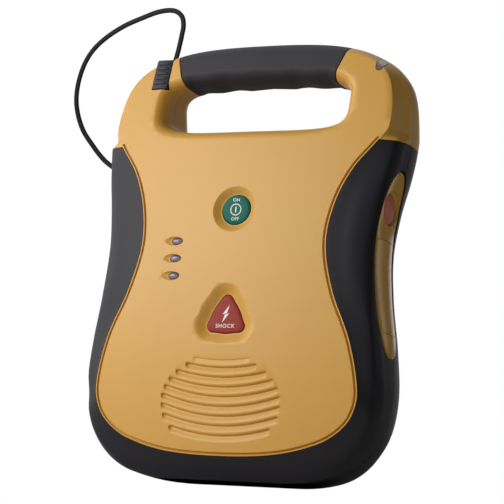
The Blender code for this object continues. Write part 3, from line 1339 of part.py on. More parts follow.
def pads():
    """The sealed pouch in the holder, with the two electrode pads in it."""
    half = POUCH_WIDTH / 2
    low_z = POCKET_BOTTOM + POUCH_GAP
    high_z = low_z + POUCH_RISE
    near = POCKET_FLOOR_Y + POUCH_GAP
    far = near + POUCH_THICK
    outline = rounded_rectangle((-half, low_z), (half, high_z), POUCH_CORNER)
    pouch = prism("pouch", outline, "y", near, far)
    inside = grown(outline, -POUCH_SEAL)
    cut(pouch, prism("inside", inside, "y", near + POUCH_FILM, far - POUCH_FILM))
    entry = CABLE_DIAMETER / 2 + 2 * GAP
    mouth_low = (-FAR, (near + far) / 2 - entry, TAIL_ENTRY_HEIGHT - entry)
    mouth_high = (POUCH_SEAL + POUCH_FILM - half, (near + far) / 2 + entry, TAIL_ENTRY_HEIGHT + entry)
    cut(pouch, box("mouth", mouth_low, mouth_high))
    origin = (0, near, low_z)
    finish(pouch, "pads_pouch", "film", origin)
    shift = (half - PAD_WIDTH / 2 - POUCH_SEAL) / 2
    bottom = near + POUCH_FILM + GAP
    for number, share in enumerate(PAD_PLACES, 1):
        z = low_z + POUCH_RISE * share
        corner_low = (shift - PAD_WIDTH / 2, z - PAD_RISE / 2)
        corner_high = (shift + PAD_WIDTH / 2, z + PAD_RISE / 2)
        outline = rounded_rectangle(corner_low, corner_high, PAD_CORNER)
        pad = prism("pad", outline, "y", bottom, bottom + PAD_THICK)
        finish(pad, f"electrode_pad_{number}", "gel", origin)


def electronics():
    """Main board behind the buttons, and the high-voltage board with its parts behind the loudspeaker."""
    for name, width, y, low_z, high_z in (
        ("main_board", MAIN_BOARD_WIDTH, MAIN_BOARD_Y, MAIN_BOARD_BOTTOM, MAIN_BOARD_TOP),
        ("power_board", POWER_BOARD_WIDTH, POWER_BOARD_Y, POWER_BOARD_BOTTOM, POWER_BOARD_TOP),
    ):
        finish(box(name, (-width / 2, y, low_z), (width / 2, y + BOARD_THICK, high_z)), name, "board")

    middle = (POWER_BOARD_BOTTOM + POWER_BOARD_TOP) / 2
    back = POWER_BOARD_Y - GAP
    for name, x, width, depth, rise, kind in (
        ("transformer", TRANSFORMER_X, TRANSFORMER_WIDTH, TRANSFORMER_DEPTH, TRANSFORMER_RISE, "ferrite"),
        ("patient_relay", RELAY_X, RELAY_WIDTH, RELAY_DEPTH, RELAY_RISE, "grey"),
    ):
        low = (x - width / 2, back - depth, middle - rise / 2)
        finish(box(name, low, (x + width / 2, back, middle + rise / 2)), name, kind)
    coil_y = POWER_BOARD_Y - GAP - COIL_RADIUS
    coil = [(COIL_RADIUS, middle - COIL_LENGTH / 2), (COIL_RADIUS, middle + COIL_LENGTH / 2)]
    finish(turned("coil", "z", (0, coil_y), coil), "discharge_coil", "copper")

    place = (CAPACITOR_X, REAR_INNER_Y - 2 * GAP - CLAMP_WALL - CAPACITOR_RADIUS)
    can = [(CAPACITOR_RADIUS, CAPACITOR_BOTTOM), (CAPACITOR_RADIUS, CAPACITOR_TOP)]
    finish(turned("capacitor", "z", place, can), "main_capacitor", "can")
    low = (CAPACITOR_BOTTOM + CAPACITOR_TOP - CLAMP_RISE) / 2
    ring = CAPACITOR_RADIUS + GAP + CLAMP_WALL
    clamp = turned("clamp", "z", place, [(ring, low), (ring, low + CLAMP_RISE)])
    reach = ring + CLAMP_RISE / 4
    foot_y = REAR_INNER_Y - GAP
    foot_low = (CAPACITOR_X - reach, foot_y - CLAMP_WALL, low)
    add(clamp, box("foot", foot_low, (CAPACITOR_X + reach, foot_y, low + CLAMP_RISE)))
    bore = CAPACITOR_RADIUS + GAP
    cut(clamp, turned("bore", "z", place, [(bore, 0), (bore, FAR)]))
    finish(clamp, "capacitor_clamp", "black")


def main():
    for obj in list(bpy.data.objects):
        bpy.data.objects.remove(obj)
    cases()
    case_gasket()
    bumpers()
    grips()
    case_screws()
    front_button("on_off", "green", on_off_loop, ON_OFF_DEPTHS, ON_OFF_HEIGHT)
    front_button("shock", "red", shock_loop, SHOCK_DEPTHS, SHOCK_HEIGHT)
    lamps()
    loudspeaker()
    battery_bay()
    battery_pack()
    eject()
    connector()
    electrode_cable()
    pads()
    electronics()


main()
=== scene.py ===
import math

import bmesh
import bpy
from mathutils import Matrix, Vector


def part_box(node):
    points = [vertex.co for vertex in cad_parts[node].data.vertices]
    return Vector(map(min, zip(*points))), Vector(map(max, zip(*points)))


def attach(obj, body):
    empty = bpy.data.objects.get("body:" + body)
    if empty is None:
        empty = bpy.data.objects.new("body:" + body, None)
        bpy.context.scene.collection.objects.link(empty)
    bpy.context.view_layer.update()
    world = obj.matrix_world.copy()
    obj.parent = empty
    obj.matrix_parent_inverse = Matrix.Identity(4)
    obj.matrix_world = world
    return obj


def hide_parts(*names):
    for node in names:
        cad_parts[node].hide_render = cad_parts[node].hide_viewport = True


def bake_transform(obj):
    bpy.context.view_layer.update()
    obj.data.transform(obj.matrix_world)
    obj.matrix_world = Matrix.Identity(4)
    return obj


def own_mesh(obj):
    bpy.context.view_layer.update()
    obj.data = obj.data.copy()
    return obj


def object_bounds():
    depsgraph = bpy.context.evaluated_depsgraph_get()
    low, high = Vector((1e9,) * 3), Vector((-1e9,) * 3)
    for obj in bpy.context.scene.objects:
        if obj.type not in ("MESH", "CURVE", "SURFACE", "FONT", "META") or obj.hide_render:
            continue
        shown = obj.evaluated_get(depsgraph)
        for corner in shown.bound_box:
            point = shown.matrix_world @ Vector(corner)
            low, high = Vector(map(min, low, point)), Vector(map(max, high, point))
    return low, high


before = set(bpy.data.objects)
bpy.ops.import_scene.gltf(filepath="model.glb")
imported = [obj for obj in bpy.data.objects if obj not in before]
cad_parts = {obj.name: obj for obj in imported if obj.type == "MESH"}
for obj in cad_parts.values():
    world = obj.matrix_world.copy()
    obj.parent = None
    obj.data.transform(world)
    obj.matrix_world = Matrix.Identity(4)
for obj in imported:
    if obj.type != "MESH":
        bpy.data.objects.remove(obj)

solid_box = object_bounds()
bpy.ops.object.select_all(action="DESELECT")

# Studio. A pale floor under the part, a large soft box at the upper left, a strip at each side, a weak fill beside
# the camera, a dark card on the right and a dark drape behind the lamps. The camera looks up from low on the right.
camera_yaw, camera_pitch, camera_roll = (math.radians(a) for a in (24.98, -10.77, 4.67))
camera_reach = 1.3497
camera_aim = Vector((0.0006, 0.0, 0.1559))
camera_side = Vector((
    math.sin(camera_yaw) * math.cos(camera_pitch),
    -math.cos(camera_yaw) * math.cos(camera_pitch),
    math.sin(camera_pitch),
))
level_right = Vector((0, 0, 1)).cross(camera_side).normalized()
level_up = camera_side.cross(level_right)
camera_right = level_right * math.cos(camera_roll) + level_up * math.sin(camera_roll)
camera_up = level_up * math.cos(camera_roll) - level_right * math.sin(camera_roll)
bpy.ops.object.camera_add()
camera = bpy.context.object
camera.data.sensor_width = 36.0
camera.data.lens = 142.86
turn = Matrix((camera_right, camera_up, camera_side)).transposed()
camera.matrix_world = Matrix.Translation(camera_aim + camera_side * camera_reach) @ turn.to_4x4()
bpy.context.scene.camera = camera
bpy.context.scene.view_settings.view_transform = "Standard"


def linear(colour):
    """An sRGB hex colour as linear red, green, blue and alpha."""
    parts = [int(colour[k:k + 2], 16) / 255 for k in (1, 3, 5)]
    return (*[c / 12.92 if c <= 0.04045 else ((c + 0.055) / 1.055) ** 2.4 for c in parts], 1.0)


def add_node(tree, kind, values=(), links=(), **settings):
    """One node with its settings, its socket values and its links, each as (socket, value)."""
    made = tree.nodes.new(kind)
    for key, value in settings.items():
        setattr(made, key, value)
    for socket, value in values:
        made.inputs[socket].default_value = value
    for socket, source in links:
        tree.links.new(source, made.inputs[socket])
    return made


def new_material(name, *values):
    """A material with values set on its shader, as the material, its node tree and the shader."""
    made = bpy.data.materials.new(name)
    made.use_nodes = True
    shader = made.node_tree.nodes["Principled BSDF"]
    for socket, value in values:
        shader.inputs[socket].default_value = value
    return made, made.node_tree, shader


world = bpy.data.worlds.new("studio")
bpy.context.scene.world = world
world.use_nodes = True
tree = world.node_tree
tree.nodes.clear()
# White where it is seen, mirrored or looked through, and nearly dark as a light.
ray = add_node(tree, "ShaderNodeLightPath").outputs
seen = ray["Is Camera Ray"]
for other in ("Is Glossy Ray", "Is Transmission Ray"):
    seen = add_node(tree, "ShaderNodeMath", links=[(0, seen), (1, ray[other])], operation="MAXIMUM").outputs[0]
ambient = add_node(tree, "ShaderNodeBackground", [("Color", linear("#F4F6FA")), ("Strength", 0.08)])
backdrop = add_node(tree, "ShaderNodeBackground", [("Color", (1, 1, 1, 1)), ("Strength", 1.0)])
mixed = add_node(tree, "ShaderNodeMixShader",
                 links=[(0, seen), (1, ambient.outputs[0]), (2, backdrop.outputs[0])])
add_node(tree, "ShaderNodeOutputWorld", links=[("Surface", mixed.outputs[0])])

bpy.ops.mesh.primitive_plane_add(size=6.0, location=(0, 0, solid_box[0][2] - 0.0002))
floor = bpy.context.object
floor.name = "studio_floor"
bpy.ops.object.transform_apply()
# Matt white paper, clear from below so that the camera can look up through it.
paper, tree, shader = new_material("studio_paper", ("Base Color", linear("#F3F2EF")), ("Roughness", 0.9))
facing = add_node(tree, "ShaderNodeNewGeometry")
clear = add_node(tree, "ShaderNodeBsdfTransparent")
mixed = add_node(tree, "ShaderNodeMixShader",
                 links=[(0, facing.outputs["Backfacing"]), (1, shader.outputs[0]), (2, clear.outputs[0])])
tree.links.new(mixed.outputs[0], tree.nodes["Material Output"].inputs["Surface"])
floor.data.materials.append(paper)


def softbox(name, place, aim, width, height, watts, colour):
    """A square lamp at a place, turned to its aim."""
    lamp = bpy.data.lights.new(name, "AREA")
    lamp.shape = "RECTANGLE"
    lamp.size, lamp.size_y = width, height
    lamp.energy = watts
    lamp.color = linear(colour)[:3]
    holder = bpy.data.objects.new(name, lamp)
    bpy.context.scene.collection.objects.link(holder)
    back = (Vector(place) - Vector(aim)).normalized()
    holder.matrix_world = Matrix.Translation(place) @ back.to_track_quat("Z", "Y").to_matrix().to_4x4()


middle = (0, 0, 0.15)
softbox("key_light", (-0.78, -1.20, 0.64), middle, 1.0, 1.0, 18.7, "#FFFCF8")
softbox("side_light", (-1.15, -0.25, 0.40), middle, 0.5, 1.0, 3.0, "#F8F9FF")
softbox("fill_light", (0.50, -1.5, 0.2), middle, 0.9, 0.9, 3.4, "#FBFAFA")
softbox("right_light", (0.58, 0.36, 0.25), middle, 0.2, 0.7, 0.6, "#FFFDFA")

# Black felt, which darkens what the glossy plastics mirror.
felt = new_material("black_felt", ("Base Color", linear("#0C0C0D")), ("Roughness", 1.0))[0]
for name, size, place, tilt in (("side_card", 3.6, (0.62, 0.6, 0.5), (0, math.radians(-90), 0)),
                                ("front_drape", 4.0, (-0.2, -2.1, 0.9), (math.radians(-90), 0, 0))):
    bpy.ops.mesh.primitive_plane_add(size=size, location=place, rotation=tilt)
    card = bpy.context.object
    card.name = name
    bpy.ops.object.transform_apply()
    card.visible_camera = False
    card.data.materials.append(felt)


# Case halves. Two shells moulded in yellow ABS and screwed together from the back. The front one carries the
# panel with its dishes and the loudspeaker grooves, the rear one the pocket that holds the pads.
GAP = 0.0004
FAR = 0.5
BODY_HEIGHT, BODY_DEPTH = 0.300, 0.069
BASE_WIDTH, BASE_HEIGHT, FOOT_WIDTH = 0.216, 0.060, 0.076
WAIST_WIDTH, WAIST_HEIGHT = 0.196, 0.155
SHOULDER_WIDTH, SHOULDER_HEIGHT = 0.2195, 0.236
FOOT_POWER, TOP_POWER = 2.3, 3.0
CROWN_ACROSS, CROWN_ACROSS_REACH = 0.0042, 0.090
CROWN_UP, CROWN_UP_REACH, CROWN_HEIGHT = 0.0097, 0.111, 0.120
REAR_LEAN, REAR_BREAK = 0.016, 0.212
PANEL_BASE_WIDTH, PANEL_SILL, PANEL_POWER = 0.1886, 0.0152, 2.45
PANEL_WAIST_WIDTH, PANEL_WAIST_HEIGHT, PANEL_NECK_RADIUS = 0.134, 0.157, 0.100
EDGE_ROUND, LEAST_EDGE, CORNER_EDGE_SHARE, CORNER_DEGREES = 0.0095, 0.002, 0.4, 50
# The edge between panel and side is soft at the handle, and crisp with a bevel at the shoulders.
CREASE_INSET, CREASE_DEPTH_SHARE = 0.0042, 0.07
BEVEL_REACH, BEVEL_FADE, BEVEL_DEPTH_SHARE = 0.010, 0.005, 0.11
CRISP_REACH, CRISP_FROM, CRISP_FADE = 0.0015, 0.066, 0.020
REAR_EDGE_INSET, PANEL_LEAD, REAR_LEAD = 0.0145, 0.003, 0.004
SOFT_STEPS, SOFT_SPOTS = 10, (13, 17, 23)  # steps from ring to ring, and those on the soft edge
# Rings round the side from front to rear: inset, depth, depth at the foot, and extra depth behind the bevel.
SIDE_RINGS = (
    (0.0, 0.24, 0.16, 0.12),
    (0.0, 0.62, 0.80, 0.02),
    (0.3, 0.82, 0.90, 0.0),
    (0.8, 0.975, 0.975, 0.0),
    (1.0, 1.0, 1.0, 0.0),
)
CASE_WALL, BUMPER_WALL, BUMPER_SEAT, GRIP_WALL = 0.0026, 0.0024, 0.0034, 0.003
BUMPER_TOP, REAR_BAND = 0.226, 0.017
HOLE_BOTTOM, HOLE_TOP, HOLE_WIDTH, HOLE_POWER = 0.2365, 0.2730, 0.134, 4.6
HOLE_ROUND, HOLE_ROUND_DEPTH = 0.009, 0.014
FINGER_SPAN, FINGER_PITCH, FINGER_DEPTH = 0.052, 0.026, 0.0005
GRIP_TOP_HALF, GRIP_BOTTOM_HALF, GRIP_REBATE = 0.068, 0.050, 0.0009


def ease(u):
    """0 to 1 with level ends."""
    return (1 - math.cos(math.pi * min(1.0, max(0.0, u)))) / 2


def front_y(x, z):
    """Depth of the crowned front."""
    across = CROWN_ACROSS * (x / CROWN_ACROSS_REACH) ** 2
    return -BODY_DEPTH / 2 + across + CROWN_UP * ((z - CROWN_HEIGHT) / CROWN_UP_REACH) ** 2


def rear_y(z):
    """Depth of the rear, which leans forward towards the handle."""
    return BODY_DEPTH / 2 - REAR_LEAN * ease((z - REAR_BREAK) / (BODY_HEIGHT + EDGE_ROUND - REAR_BREAK))


def half_width(z):
    """Half the body's width below the shoulders, drawn in at the waist."""
    base, waist, shoulder = BASE_WIDTH / 2, WAIST_WIDTH / 2, SHOULDER_WIDTH / 2
    if z < WAIST_HEIGHT:
        return base + (waist - base) * ease((z - BASE_HEIGHT) / (WAIST_HEIGHT - BASE_HEIGHT))
    return waist + (shoulder - waist) * ease((z - WAIST_HEIGHT) / (SHOULDER_HEIGHT - WAIST_HEIGHT))


def panel_half_width(z):
    """Half the width of the yellow panel, which widens to the body's own at the neck."""
    base, waist = PANEL_BASE_WIDTH / 2, PANEL_WAIST_WIDTH / 2
    if z < PANEL_WAIST_HEIGHT:
        return base + (waist - base) * ease((z - BASE_HEIGHT) / (PANEL_WAIST_HEIGHT - BASE_HEIGHT))
    rise = min(z - PANEL_WAIST_HEIGHT, PANEL_NECK_RADIUS)
    neck = waist + PANEL_NECK_RADIUS - math.sqrt(PANEL_NECK_RADIUS**2 - rise**2)
    return min(neck, half_width(z) - EDGE_ROUND)


def power_arc(degrees, power):
    """A point of the unit circle, pushed out towards the square."""
    angle = math.radians(degrees)
    c, s = math.cos(angle), math.sin(angle)
    return math.copysign(abs(c) ** (2 / power), c), math.copysign(abs(s) ** (2 / power), s)


def curve_through(points, level, steps):
    """A smooth curve through points. Those whose numbers are in level get a level tangent."""
    last = len(points) - 1
    tangents = []
    for i in range(last + 1):
        along = points[min(i + 1, last)] - points[max(i - 1, 0)]
        if i in level:
            along = Vector((along.x, 0.0))
        tangents.append(along.normalized())
    curve = [points[0]]
    for i in range(last):
        a, b = points[i], points[i + 1]
        chord = (b - a).length
        for k in range(1, steps + 1):
            u = k / steps
            start = a * (2 * u**3 - 3 * u**2 + 1) + tangents[i] * chord * (u**3 - 2 * u**2 + u)
            end = b * (3 * u**2 - 2 * u**3) + tangents[i + 1] * chord * (u**3 - u**2)
            curve.append(start + end)
    return curve


def outlines(steps, least=LEAST_EDGE):
    """Closed outlines of the whole body and of the panel, point for point, at least a distance apart at the top."""
    base, shoulder, foot = BASE_WIDTH / 2, SHOULDER_WIDTH / 2, FOOT_WIDTH / 2
    outer = [(0, 0), (foot, 0)]
    panel = [(0, PANEL_SILL)]
    for degrees in (20, 42, 58, 74):
        c, s = power_arc(degrees, PANEL_POWER)
        panel.append((PANEL_BASE_WIDTH / 2 * s, BASE_HEIGHT - (BASE_HEIGHT - PANEL_SILL) * c))
    for degrees in (24, 46, 67):
        c, s = power_arc(degrees, FOOT_POWER)
        outer.append((foot + (base - foot) * s, BASE_HEIGHT - BASE_HEIGHT * c))
    heights = [BASE_HEIGHT + (WAIST_HEIGHT - BASE_HEIGHT) * share for share in (0, 0.34, 0.67)]
    heights += [WAIST_HEIGHT + (SHOULDER_HEIGHT - WAIST_HEIGHT) * share for share in (0, 0.34, 0.63, 0.86)]
    for z in heights:
        outer.append((half_width(z), z))
        panel.append((panel_half_width(z), z))
    rise = BODY_HEIGHT - SHOULDER_HEIGHT
    for degrees in (0, 17, 34, 50, 66, 79):
        c, s = power_arc(degrees, TOP_POWER)
        outer.append((shoulder * c, SHOULDER_HEIGHT + rise * s))
        at_corner = min(ease(degrees / CORNER_DEGREES), ease((90 - degrees) / (90 - CORNER_DEGREES)))
        edge = max(least, EDGE_ROUND * (1 - (1 - CORNER_EDGE_SHARE) * at_corner))
        panel.append(((shoulder - edge) * c, SHOULDER_HEIGHT + (rise - edge) * s))
    outer.append((0, BODY_HEIGHT))
    panel.append((0, BODY_HEIGHT - EDGE_ROUND))
    loops = []
    for half, level in ((outer, (0, 1, len(outer) - 1)), (panel, (0, len(panel) - 1))):
        right = curve_through([Vector(p) for p in half], level, steps)
        loops.append(right + [Vector((-p.x, p.y)) for p in reversed(right[1:-1])])
    return loops


def grown(loop, distance):
    """A closed 2-D loop moved outwards by a distance."""
    count = len(loop)
    side = math.copysign(1.0, sum(loop[i - 1].cross(loop[i]) for i in range(count)))
    moved = []
    for i, point in enumerate(loop):
        before = (point - loop[i - 1]).normalized()
        after = (loop[(i + 1) % count] - point).normalized()
        along = (before + after).normalized()
        reach = max(0.5, math.sqrt(max(0.0, (1 + before.dot(after)) / 2)))
        moved.append(point + Vector((along.y, -along.x)) * side * distance / reach)
    return moved


def new_piece(name, bm):
    """A linked object from a closed bmesh, with its faces pointing out."""
    bmesh.ops.recalc_face_normals(bm, faces=bm.faces)
    if bm.calc_volume(signed=True) < 0:
        bmesh.ops.reverse_faces(bm, faces=bm.faces)
    mesh = bpy.data.meshes.new(name)
    bm.to_mesh(mesh)
    bm.free()
    piece = bpy.data.objects.new(name, mesh)
    bpy.context.scene.collection.objects.link(piece)
    return piece


def banded(bm, rings):
    """Rows of points for rings of equal count, with a band of faces from each row to the next."""
    rows = [[bm.verts.new(p) for p in ring] for ring in rings]
    count = len(rows[0])
    for near, far in zip(rows, rows[1:]):
        for i in range(count):
            j = (i + 1) % count
            bm.faces.new((near[i], near[j], far[j], far[i]))
    return rows


def loft(name, rings):
    """A closed solid through rings of equal count."""
    bm = bmesh.new()
    rows = banded(bm, rings)
    ends = [bm.faces.new(list(reversed(rows[0]))), bm.faces.new(rows[-1])]
    bmesh.ops.triangulate(bm, faces=ends)
    return new_piece(name, bm)


def placed(loop, axis, depth):
    """A 2-D loop as a ring across an axis: (x, z) across y, (y, z) across x, (x, y) across z."""
    if axis == "y":
        return [Vector((p[0], depth, p[1])) for p in loop]
    if axis == "x":
        return [Vector((depth, p[0], p[1])) for p in loop]
    return [Vector((p[0], p[1], depth)) for p in loop]


def on_front(loop, sunk):
    """A 2-D loop as a ring that follows the crowned front, sunk by a depth."""
    return [Vector((p.x, front_y(p.x, p.y) + sunk, p.y)) for p in loop]


def prism(name, loop, axis, low, high):
    """A solid with a 2-D loop as its section, from low to high along an axis."""
    return loft(name, [placed(loop, axis, low), placed(loop, axis, high)])


def block(name, low, high):
    """A box between two corners."""
    low, high = Vector(low), Vector(high)
    bpy.ops.mesh.primitive_cube_add(size=1.0, location=(low + high) / 2, scale=high - low)
    bpy.ops.object.transform_apply()
    bpy.context.object.name = name
    return bpy.context.object


AXIS_TURN = {"x": (0, math.pi / 2, 0), "y": (-math.pi / 2, 0, 0), "z": (0, 0, 0)}


def round_bar(name, axis, centre, radius, low, high, sides=64):
    """A plain cylinder along an axis."""
    spot = placed([centre], axis, (low + high) / 2)[0]
    bpy.ops.mesh.primitive_cylinder_add(vertices=sides, radius=radius, depth=high - low, location=spot,
                                        rotation=AXIS_TURN[axis])
    bpy.ops.object.transform_apply()
    bpy.context.object.name = name
    return bpy.context.object


def ellipse(centre, across, up, sides, power=2.0):
    """A closed 2-D oval. A higher power makes it squarer."""
    loop = []
    for i in range(sides):
        c, s = power_arc(360 * i / sides, power)
        loop.append(Vector((centre[0] + across * c, centre[1] + up * s)))
    return loop


def copied(piece, name):
    """A copy of a piece with a mesh of its own."""
    twin = piece.copy()
    twin.data = piece.data.copy()
    twin.name = name
    bpy.context.scene.collection.objects.link(twin)
    return twin


def pick(piece):
    """Selects one piece alone."""
    bpy.ops.object.select_all(action="DESELECT")
    bpy.context.view_layer.objects.active = piece
    piece.select_set(True)


def carve(piece, tool, operation="DIFFERENCE"):
    """Cuts a tool from a piece, or joins or crosses the two, and removes the tool."""
    pick(piece)
    change = piece.modifiers.new("carve", "BOOLEAN")
    change.object = tool
    change.operation = operation
    change.solver = "MANIFOLD"
    bpy.ops.object.modifier_apply(modifier=change.name)
    bpy.data.objects.remove(tool)
    return piece


def cover(bm, ring, columns, depth_at):
    """Closes a mirrored ring with rows of faces from its left half to its right half."""
    count = len(ring)
    top = count // 2
    first = next(i for i in range(1, top) if ring[i].co.z - ring[0].co.z > GAP)
    rows = []
    for i in range(first, top):
        left, right = ring[count - i], ring[i]
        row = [left]
        for k in range(1, columns):
            x = left.co.x + (right.co.x - left.co.x) * k / columns
            row.append(bm.verts.new((x, depth_at(x, right.co.z), right.co.z)))
        rows.append(row + [right])
    bm.faces.new([ring[i % count] for i in range(count - first + 1, count + first)] + list(reversed(rows[0])))
    for below, above in zip(rows, rows[1:]):
        for k in range(columns):
            bm.faces.new((below[k], below[k + 1], above[k + 1], above[k]))
    for k in range(columns):
        bm.faces.new((rows[-1][k], rows[-1][k + 1], ring[top]))


def toward(p, q):
    """A point a little way from p to q, which keeps the edge at p crisp."""
    return p.lerp(q, min(0.3, CRISP_REACH / (q - p).length))


def skin(name, side=0.0, face=0.0, panel_inset=0.0, fine=False):
    """The whole body as one closed solid, drawn in by side at its edges and by face at front and rear."""
    steps, columns, across = (6, 44, 5) if fine else (2, 8, 1)
    outer, panel = outlines(steps, side + LEAST_EDGE)
    outer = grown(outer, -side)
    crease, crisp, bevel = [], [], []
    for edge, inner in zip(outer, panel):
        reach = (inner - edge).length
        crisp.append(ease((abs(inner.x) - CRISP_FROM) / CRISP_FADE))
        bevel.append(crisp[-1] * (1 - ease((reach + side - BEVEL_REACH) / BEVEL_FADE)))
        share = min(0.5, CREASE_INSET / reach)
        crease.append(edge.lerp(inner, share + (0.5 - share) * bevel[-1]))

    def depth(p, middle_share, foot_share):
        near, far = front_y(p.x, p.y) + face, rear_y(p.y) - face
        low = 1 - ease(p.y / (BASE_HEIGHT / 2))
        return near + (far - near) * (middle_share + (foot_share - middle_share) * low)

    keys = [on_front(panel, max(side, face))]
    behind = max(0.0, side - face)
    ring = []
    for p, b in zip(crease, bevel):
        y = depth(p, CREASE_DEPTH_SHARE + BEVEL_DEPTH_SHARE * b, CREASE_DEPTH_SHARE) + behind
        ring.append(Vector((p.x, y, p.y)))
    keys.append(ring)
    for inset_share, share, foot_share, extra in SIDE_RINGS:
        loop = grown(outer, -inset_share * REAR_EDGE_INSET)
        keys.append([Vector((p.x, depth(p, share + extra * b, foot_share), p.y)) for p, b in zip(loop, bevel)])
    before = on_front(grown(panel, -max(panel_inset, PANEL_LEAD)), face)
    after = [Vector((p.x, rear_y(p.y) - face, p.y)) for p in grown(outer, -REAR_EDGE_INSET - REAR_LEAD)]
    strips = []
    for i in range(len(outer)):
        through = [before[i]] + [key[i] for key in keys] + [after[i]]
        at_panel, at_crease, at_side = through[1:4]
        soft = curve_through(through, (), SOFT_STEPS)
        tight = (toward(at_panel, at_crease), toward(at_crease, at_panel), toward(at_crease, at_side))
        through[2:3] = [soft[spot].lerp(q, crisp[i]) for spot, q in zip(SOFT_SPOTS, tight)]
        strip = curve_through(through, (), across)
        for p in strip:
            p.z = max(p.z, side)
        strips.append(strip[across:len(strip) - across])
    rings = [list(ring) for ring in zip(*strips)]
    if panel_inset > 0:
        rings.insert(0, before)

    bm = bmesh.new()
    rows = banded(bm, rings)
    cover(bm, rows[0], columns, lambda x, z: front_y(x, z) + face)
    cover(bm, rows[-1], columns, lambda x, z: rear_y(z) - face)
    bmesh.ops.triangulate(bm, faces=bm.faces, quad_method="FIXED")
    return new_piece(name, bm)


def handle_hole(name, grow=0.0, fine=False):
    """The opening under the grip, with rounded front and rear edges and shallow waves for the fingers."""
    middle_z, reach = (HOLE_BOTTOM + HOLE_TOP) / 2, (HOLE_TOP - HOLE_BOTTOM) / 2
    outline = ellipse((0, middle_z), HOLE_WIDTH / 2, reach, 160 if fine else 40, HOLE_POWER)
    for p in outline:
        if p.y > middle_z and abs(p.x) < FINGER_SPAN:
            p.y += FINGER_DEPTH * math.cos(2 * math.pi * p.x / FINGER_PITCH)
    flares = []
    for degrees in range(0, 91, 9 if fine else 30):
        c, s = power_arc(degrees, 2)
        flares.append((HOLE_ROUND * (1 - s), HOLE_ROUND_DEPTH * (1 - c)))
    outside = grown(outline, grow + HOLE_ROUND)
    rings = [placed(outside, "y", -FAR)]
    for flare, deep in flares:
        rings.append(on_front(grown(outline, grow + flare), deep - GAP))
    for flare, deep in reversed(flares):
        rings.append([Vector((p.x, rear_y(p.y) - deep + GAP, p.y)) for p in grown(outline, grow + flare)])
    rings.append(placed(outside, "y", FAR))
    return loft(name, rings)


ON_OFF_Z, ON_OFF_RADIUS, ON_OFF_DISH = 0.1786, 0.0102, 0.0035
SHOCK_Z, SHOCK_RISE, SHOCK_TOP_SHARE, SHOCK_DISH = 0.1064, 0.0256, 0.56, 0.0042
SHOCK_HALF, SHOCK_ROUND, SHOCK_BULGE = 0.0092, 0.0042, 0.0008
BUTTON_SEAT = 0.0020
ON_OFF_MARGIN, SHOCK_MARGIN, LAMP_MARGIN = 0.0056, 0.0074, 0.0034
ON_OFF_BOSS, SHOCK_BOSS, LAMP_BOSS = 0.0079, 0.0100, 0.0045
LAMP_X, LAMP_ZS, LAMP_DISH = -0.0404, (0.15685, 0.1450, 0.13315), 0.0013
LAMP_ACROSS, LAMP_UP, LAMP_BORE = 0.0038, 0.0021, 0.0038
STATUS_X, STATUS_Z, STATUS_HALF, STATUS_BACK, STATUS_WALL = 0.0875, 0.2788, 0.0023, -0.0012, 0.001
PLUG_X, PLUG_WIDTH, PLUG_BOTTOM, PLUG_TOP, PLUG_BACK, PLUG_GAP = -0.0735, 0.0118, 0.2690, 0.2915, 0.0145, 0.0006
POUCH_WIDTH, POUCH_GAP = 0.136, 0.0008
POCKET_FLOOR, POCKET_BOTTOM, LIP_BACK, LIP_TOP, RECESS_LEFT = 0.0246, 0.040, 0.0319, 0.084, -0.077
CHANNEL_Z, CHANNEL_WIDTH, CHANNEL_FLOOR, TAIL_Z, CABLE_WIDTH = 0.208, 0.0054, 0.0285, 0.176, 0.0036
SCREWS = ((0.078, 0.030), (-0.078, 0.030), (0.088, 0.238), (-0.088, 0.238), (0.056, 0.0905), (-0.056, 0.0905))
SCREW_BORE, SCREW_TIP, SCREW_PILLAR = 0.0023, -0.0104, 0.0048
SCREW_HEAD, SCREW_HEAD_RISE = 0.0038, 0.0038
BAY_Y = (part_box("battery_bay")[0][1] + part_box("battery_bay")[1][1]) / 2
BAY_Z, BAY_RISE, BAY_WIDTH, BAY_POWER = 0.146, 0.124, 0.031, 2.6
BAY_PLATE_X, BAY_WALL = 0.084, 0.0015
GRILLE_Z, GRILLE_HALF, GRILLE_UP, GRILLE_BEND = 0.051, 0.0435, 0.0285, 0.120
GRILLE_GROOVES, GRILLE_PITCH, FAINT_GROOVE, FAINT_UP, FAINT_SHARE = 8, 0.0063, 7.75, 0.0300, 0.25
SPEAKER_SEAT_RADIUS, SPEAKER_SEAT_DEPTH = 0.046, 0.0065


def on_off_loop(grow=0.0):
    return ellipse((0, ON_OFF_Z), ON_OFF_RADIUS + grow, ON_OFF_RADIUS + grow, 96)


def shock_loop(grow=0.0):
    """Rounded triangle of the shock button, point up, with slightly bulging sides."""
    top = SHOCK_Z + SHOCK_RISE * SHOCK_TOP_SHARE
    base = top - SHOCK_RISE + SHOCK_ROUND + SHOCK_BULGE
    corners = [Vector((SHOCK_HALF, base)), Vector((0, top - SHOCK_ROUND)), Vector((-SHOCK_HALF, base))]
    points = []
    for before, corner, after in zip(corners[-1:] + corners, corners, corners[1:] + corners):
        arrive, leave = (corner - before).normalized(), (after - corner).normalized()
        start = math.atan2(-arrive.x, arrive.y)
        turn = math.acos(arrive.dot(leave))
        for k in range(17):
            angle = start + turn * k / 16
            points.append(corner + SHOCK_ROUND * Vector((math.cos(angle), math.sin(angle))))
        out = Vector((leave.y, -leave.x))
        for k in range(1, 16):
            reach = SHOCK_ROUND + SHOCK_BULGE * math.sin(math.pi * k / 16) ** 2
            points.append(corner.lerp(after, k / 16) + out * reach)
    return grown(points, grow)


def lamp_loop(z, grow=0.0):
    return ellipse((LAMP_X, z), LAMP_ACROSS + grow, LAMP_UP + grow, 48)


